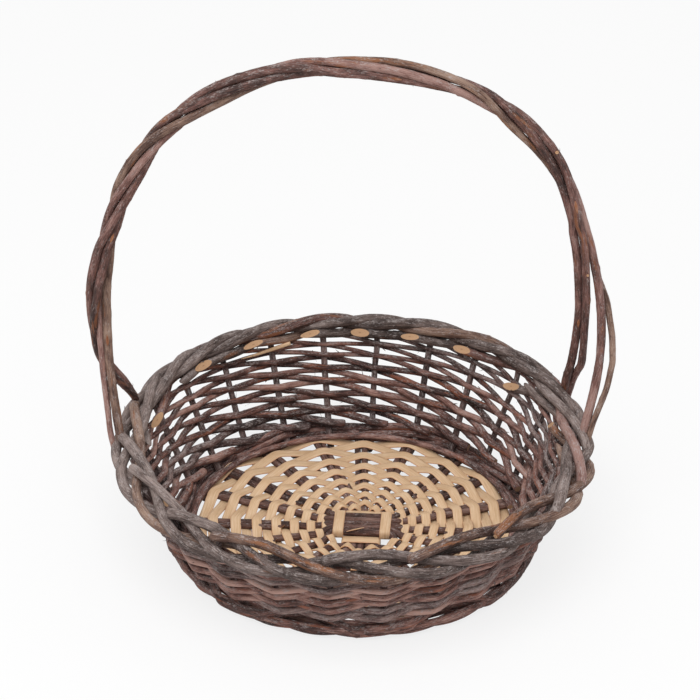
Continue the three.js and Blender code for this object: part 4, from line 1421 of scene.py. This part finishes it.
@dataclass
class Handle(SubAssembly):
    """The arched handle: four rods twisted together, two to each of its four feet.

    Quarter turns are shares of the arch at which the twist has turned a quarter further, and bows
    are shares with how far the arch bows out there. Shoots and torn places are given across and
    up on its front, with a radius or a length.
    """

    height: float = 339.2
    left_span: float = 168.0
    right_span: float = 160.0
    shoulder: float = 130.0
    set_back: float = 30.0
    tilt: float = -2.5
    squareness: float = 2.5
    shares: Pair = (0.098, 0.872)
    quarter_turns: tuple[float, ...] = (
        0.0517, 0.1059, 0.1601, 0.2509, 0.3192, 0.4586, 0.5008, 0.6443, 0.7038, 0.8245, 0.9533, 1.03,
    )
    first_turn: float = 40.0
    bows: tuple[Pair, ...] = (
        (0.069, 2.4), (0.117, -1.1), (0.216, -0.6), (0.261, 0.1), (0.328, -1.3), (0.386, -0.7),
        (0.457, 2.7), (0.504, 1.5), (0.588, -1.5), (0.646, -1.3), (0.717, -1.2), (0.804, 1.9), (0.884, 0.8),
    )
    grey_rod: int = 2
    bark: Bark = Bark(lump=0.06, knot_gap=42.0)
    shoots: tuple[Triple, ...] = ((130.3, 279.0, 1.3), (158.0, 190.0, 0.9))
    torn: tuple[Triple, ...] = (
        (147.3, 243.0, 9.0), (-160.0, 219.0, 7.0), (-164.5, 140.0, 8.0), (28.0, 333.0, 7.0),
        (152.0, 150.0, 6.0),
    )

    def arch(self, share: Array) -> Array:
        """The twist's middle line: a squared arch from the left foot, 0, to the right one, 1."""
        turn = np.pi * (1.0 - share)
        power = 2.0 / self.squareness
        across = np.sign(np.cos(turn)) * np.abs(np.cos(turn)) ** power
        across = across * np.where(across < 0.0, self.left_span, self.right_span)
        rise = np.sin(turn) ** power
        height = self.shoulder + (self.height - self.shoulder) * rise
        lean = self.tilt * np.sin(np.pi * rise)
        return np.stack([across + lean, np.full_like(share, self.set_back), height], axis=-1)

    def twist(self, index: int, rng: np.random.Generator) -> Array:
        """One rod's stretch in the twist.

        The rod turns a quarter between neighbouring places of the quarter turns, at its own
        distance from the arch, which itself bows in and out a little. Both are evened out over
        nearby shares.
        """
        share = np.linspace(*self.shares, 66)
        near = share + np.linspace(-0.03, 0.03, 7)[:, None]
        quarters = np.interp(near, self.quarter_turns, np.arange(len(self.quarter_turns))).mean(axis=0)
        bow = np.interp(near, *np.array(self.bows).T).mean(axis=0)
        along = unit(self.arch(share + 0.004) - self.arch(share - 0.004))
        out = np.stack([-along[:, 2], np.zeros(len(share)), along[:, 0]], axis=-1)
        turn = np.radians(self.first_turn - 90.0 * (quarters + index))
        radius = TWISTED_RODS[index].radius * (1.0 + 0.06 * wave(100.0 * share, 9.0, rng))
        centre = self.arch(share) + out * (bow + radius * np.cos(turn))[:, None]
        centre[:, 1] += radius * np.sin(turn)
        return centre

    def build_rods(self) -> None:
        """Makes the handle's four rods."""
        rng = np.random.default_rng(44)
        for index, kind in enumerate(TWISTED_RODS):
            points = np.concatenate([np.array(kind.left), self.twist(index, rng), np.array(kind.right)])
            run = run_along(points)
            size = 0.5 * np.interp(run / run[-1], np.linspace(0.0, 1.0, len(kind.diameters)), kind.diameters)
            course = course_of(points, size, step=1.5)
            self.courses.append(course)
            rod = Rod(course, seed=700 + index, across=(0.0, 1.0, 0.0), bark=self.bark, sides=18)
            rod.tone, rod.tone_drift = kind.tone, 0.8
            looks = (Look.TAN_BORDER if index == self.grey_rod else Look.HANDLE, Look.DULL_CUT)
            name, slot = f"twisted_rod_{index + 1}", ("bark", "red_bark")[index % 2]
            self.add([rod.surface()], name, looks, slot, f"handle_rod_{index + 1}")

    def front_row(self, across: float, height: float) -> tuple[Array, Array]:
        """The nearest row, towards the front, of any rod to a place across and up, and its way on."""
        best = None
        for course in self.courses:
            gap = np.hypot(course[:, 0] - across, course[:, 2] - height) + 0.4 * course[:, 1]
            row = int(np.argmin(gap))
            if best is None or gap[row] < best[0]:
                best = (gap[row], course[row], unit(course[row + 1, :3] - course[row - 1, :3]))
        return best[1], best[2]

    def build_scars(self) -> None:
        """Makes the stubs of cut side shoots and the strips of torn bark on the handle's front."""
        parts = []
        for number, (across, height, size) in enumerate(self.shoots):
            row, way = self.front_row(across, height)
            out = unit(np.array([0.25, -1.0, 0.35]))
            steps = np.linspace(row[3] * 0.5, row[3] + 1.0, 5)[:, None]
            course = np.column_stack([row[:3] + steps * out, np.full(5, size)])
            bark = Bark(lump=0.1, wander=0.0)
            rod = Rod(course, seed=760 + number, across=tuple(way), bark=bark, sides=10)
            parts.append(rod.surface())
        for number, (across, height, length) in enumerate(self.torn):
            row, way = self.front_row(across, height)
            ahead = np.array([0.0, -1.0, 0.3])
            out = unit(ahead - way * float(np.dot(way, ahead)))
            steps = np.linspace(-0.5, 0.5, 6)[:, None] * length
            lift = row[3] + np.array([0.0, 0.15, 0.2, 0.2, 0.35, 1.0])[:, None]
            points = row[:3] + steps * way + lift * out
            course = np.column_stack([points, (0.2, 0.7, 1.0, 0.9, 0.6, 0.2)])
            parts.append(strip(course, np.cross(way, out), thickness=0.5, seed=770 + number))
        self.add(parts, "handle_scars", (Look.TORN, Look.CUT), "bark")

    def build(self) -> None:
        """Makes the whole handle."""
        self.build_rods()
        shoots = sprigs(self.courses, count=120, seed=81, length=1.6, radius=0.4)
        self.add([shoots], "handle_sprigs", (Look.HANDLE,), "bark")
        self.build_scars()


# The stage


@dataclass
class Studio:
    """The camera, a plain pale floor and soft light, in metres and degrees.

    The floor has its own white and, for the camera, a share of glow. The sky is weaker on the
    basket than as the camera sees it.
    """

    camera_place: Triple = (0.0, -1.8453, 1.2305)
    camera_pitch: float = 59.59
    lens: float = 165.43
    shift: float = -0.0043
    floor_reach: float = 9.0
    floor_white: float = 0.86
    floor_glow: float = 0.8
    sky_strength: float = 0.7
    sky_seen: float = 1.0
    lamp_power: float = 26.0
    lamp_size: float = 1.6
    lamp_place: Triple = (-0.25, -0.95, 1.95)
    lamp_turn: Triple = (26.0, -7.0, 0.0)

    @staticmethod
    def link(name: str, data: bpy.types.ID, place: Triple, turn: Triple) -> bpy.types.Object:
        """Puts an object in the scene at a place, turned by degrees about each axis."""
        made = bpy.data.objects.new(name, data)
        made.location = place
        made.rotation_euler = np.radians(turn)
        bpy.context.scene.collection.objects.link(made)
        return made

    def build_camera(self) -> None:
        """Places the camera at the photograph's viewing angle."""
        data = bpy.data.cameras.new("camera")
        data.lens = self.lens
        data.shift_x = self.shift
        data.clip_start, data.clip_end = 0.05, 50.0
        turn = (self.camera_pitch, 0.0, 0.0)
        bpy.context.scene.camera = self.link("camera", data, self.camera_place, turn)

    def build_floor(self) -> None:
        """Makes a wide pale floor that the camera sees as nearly white, with soft shadows."""
        mesh = bpy.data.meshes.new("floor")
        reach = self.floor_reach
        corners = [(-reach, -reach, 0.0), (reach, -reach, 0.0), (reach, reach, 0.0), (-reach, reach, 0.0)]
        mesh.from_pydata(corners, [], [(0, 1, 2, 3)])
        floor = self.link("floor", mesh, (0.0, 0.0, 0.0), (0.0, 0.0, 0.0))
        made = bpy.data.materials.new("pale_floor")
        made.use_nodes = True
        bench = Bench(made.node_tree)
        bench.tree.nodes.remove(bench.tree.nodes["Principled BSDF"])
        white = (self.floor_white, self.floor_white, self.floor_white, 1.0)
        plain = bench.node("BsdfDiffuse", {"Color": white}).outputs[0]
        glow = bench.node("Emission", {"Color": (1.0, 1.0, 1.0, 1.0), "Strength": 1.0}).outputs[0]
        share = bench.math("MULTIPLY", bench.seen_directly(), self.floor_glow)
        mixed = bench.node("MixShader", {0: share, 1: plain, 2: glow}).outputs[0]
        bench.feed(bench.tree.nodes["Material Output"].inputs, {0: mixed})
        mesh.materials.append(made)

    def build_light(self) -> None:
        """Lights the object from a pale sky and one large soft lamp above the camera's left."""
        world = bpy.data.worlds.new("pale_world")
        bpy.context.scene.world = world
        world.use_nodes = True
        bench = Bench(world.node_tree)
        more = self.sky_seen - self.sky_strength
        strength = bench.math("MULTIPLY_ADD", bench.seen_directly(), more, self.sky_strength)
        bench.feed(bench.tree.nodes["Background"].inputs, {0: (1.0, 1.0, 1.0, 1.0), 1: strength})
        data = bpy.data.lights.new("soft_lamp", "AREA")
        data.energy = self.lamp_power
        data.size = self.lamp_size
        self.link("soft_lamp", data, self.lamp_place, self.lamp_turn)

    def build(self) -> None:
        """Sets the whole stage."""
        bpy.context.scene.view_settings.view_transform = "Standard"
        self.build_camera()
        self.build_floor()
        self.build_light()


def main() -> None:
    """Builds the stage, then the basket from its base up."""
    logging.basicConfig(level=logging.INFO, format="%(name)s %(message)s")
    Studio().build()
    effects = Effects()
    palette = {look: look.value.material(effects) for look in Look}
    wall = Wall(palette)
    for part in (Base(palette), wall, Border(palette, wall=wall), Handle(palette)):
        part.build()
        LOG.info("%s: %d pieces", type(part).__name__, len(part.pieces))


if __name__ == "__main__":
    main()
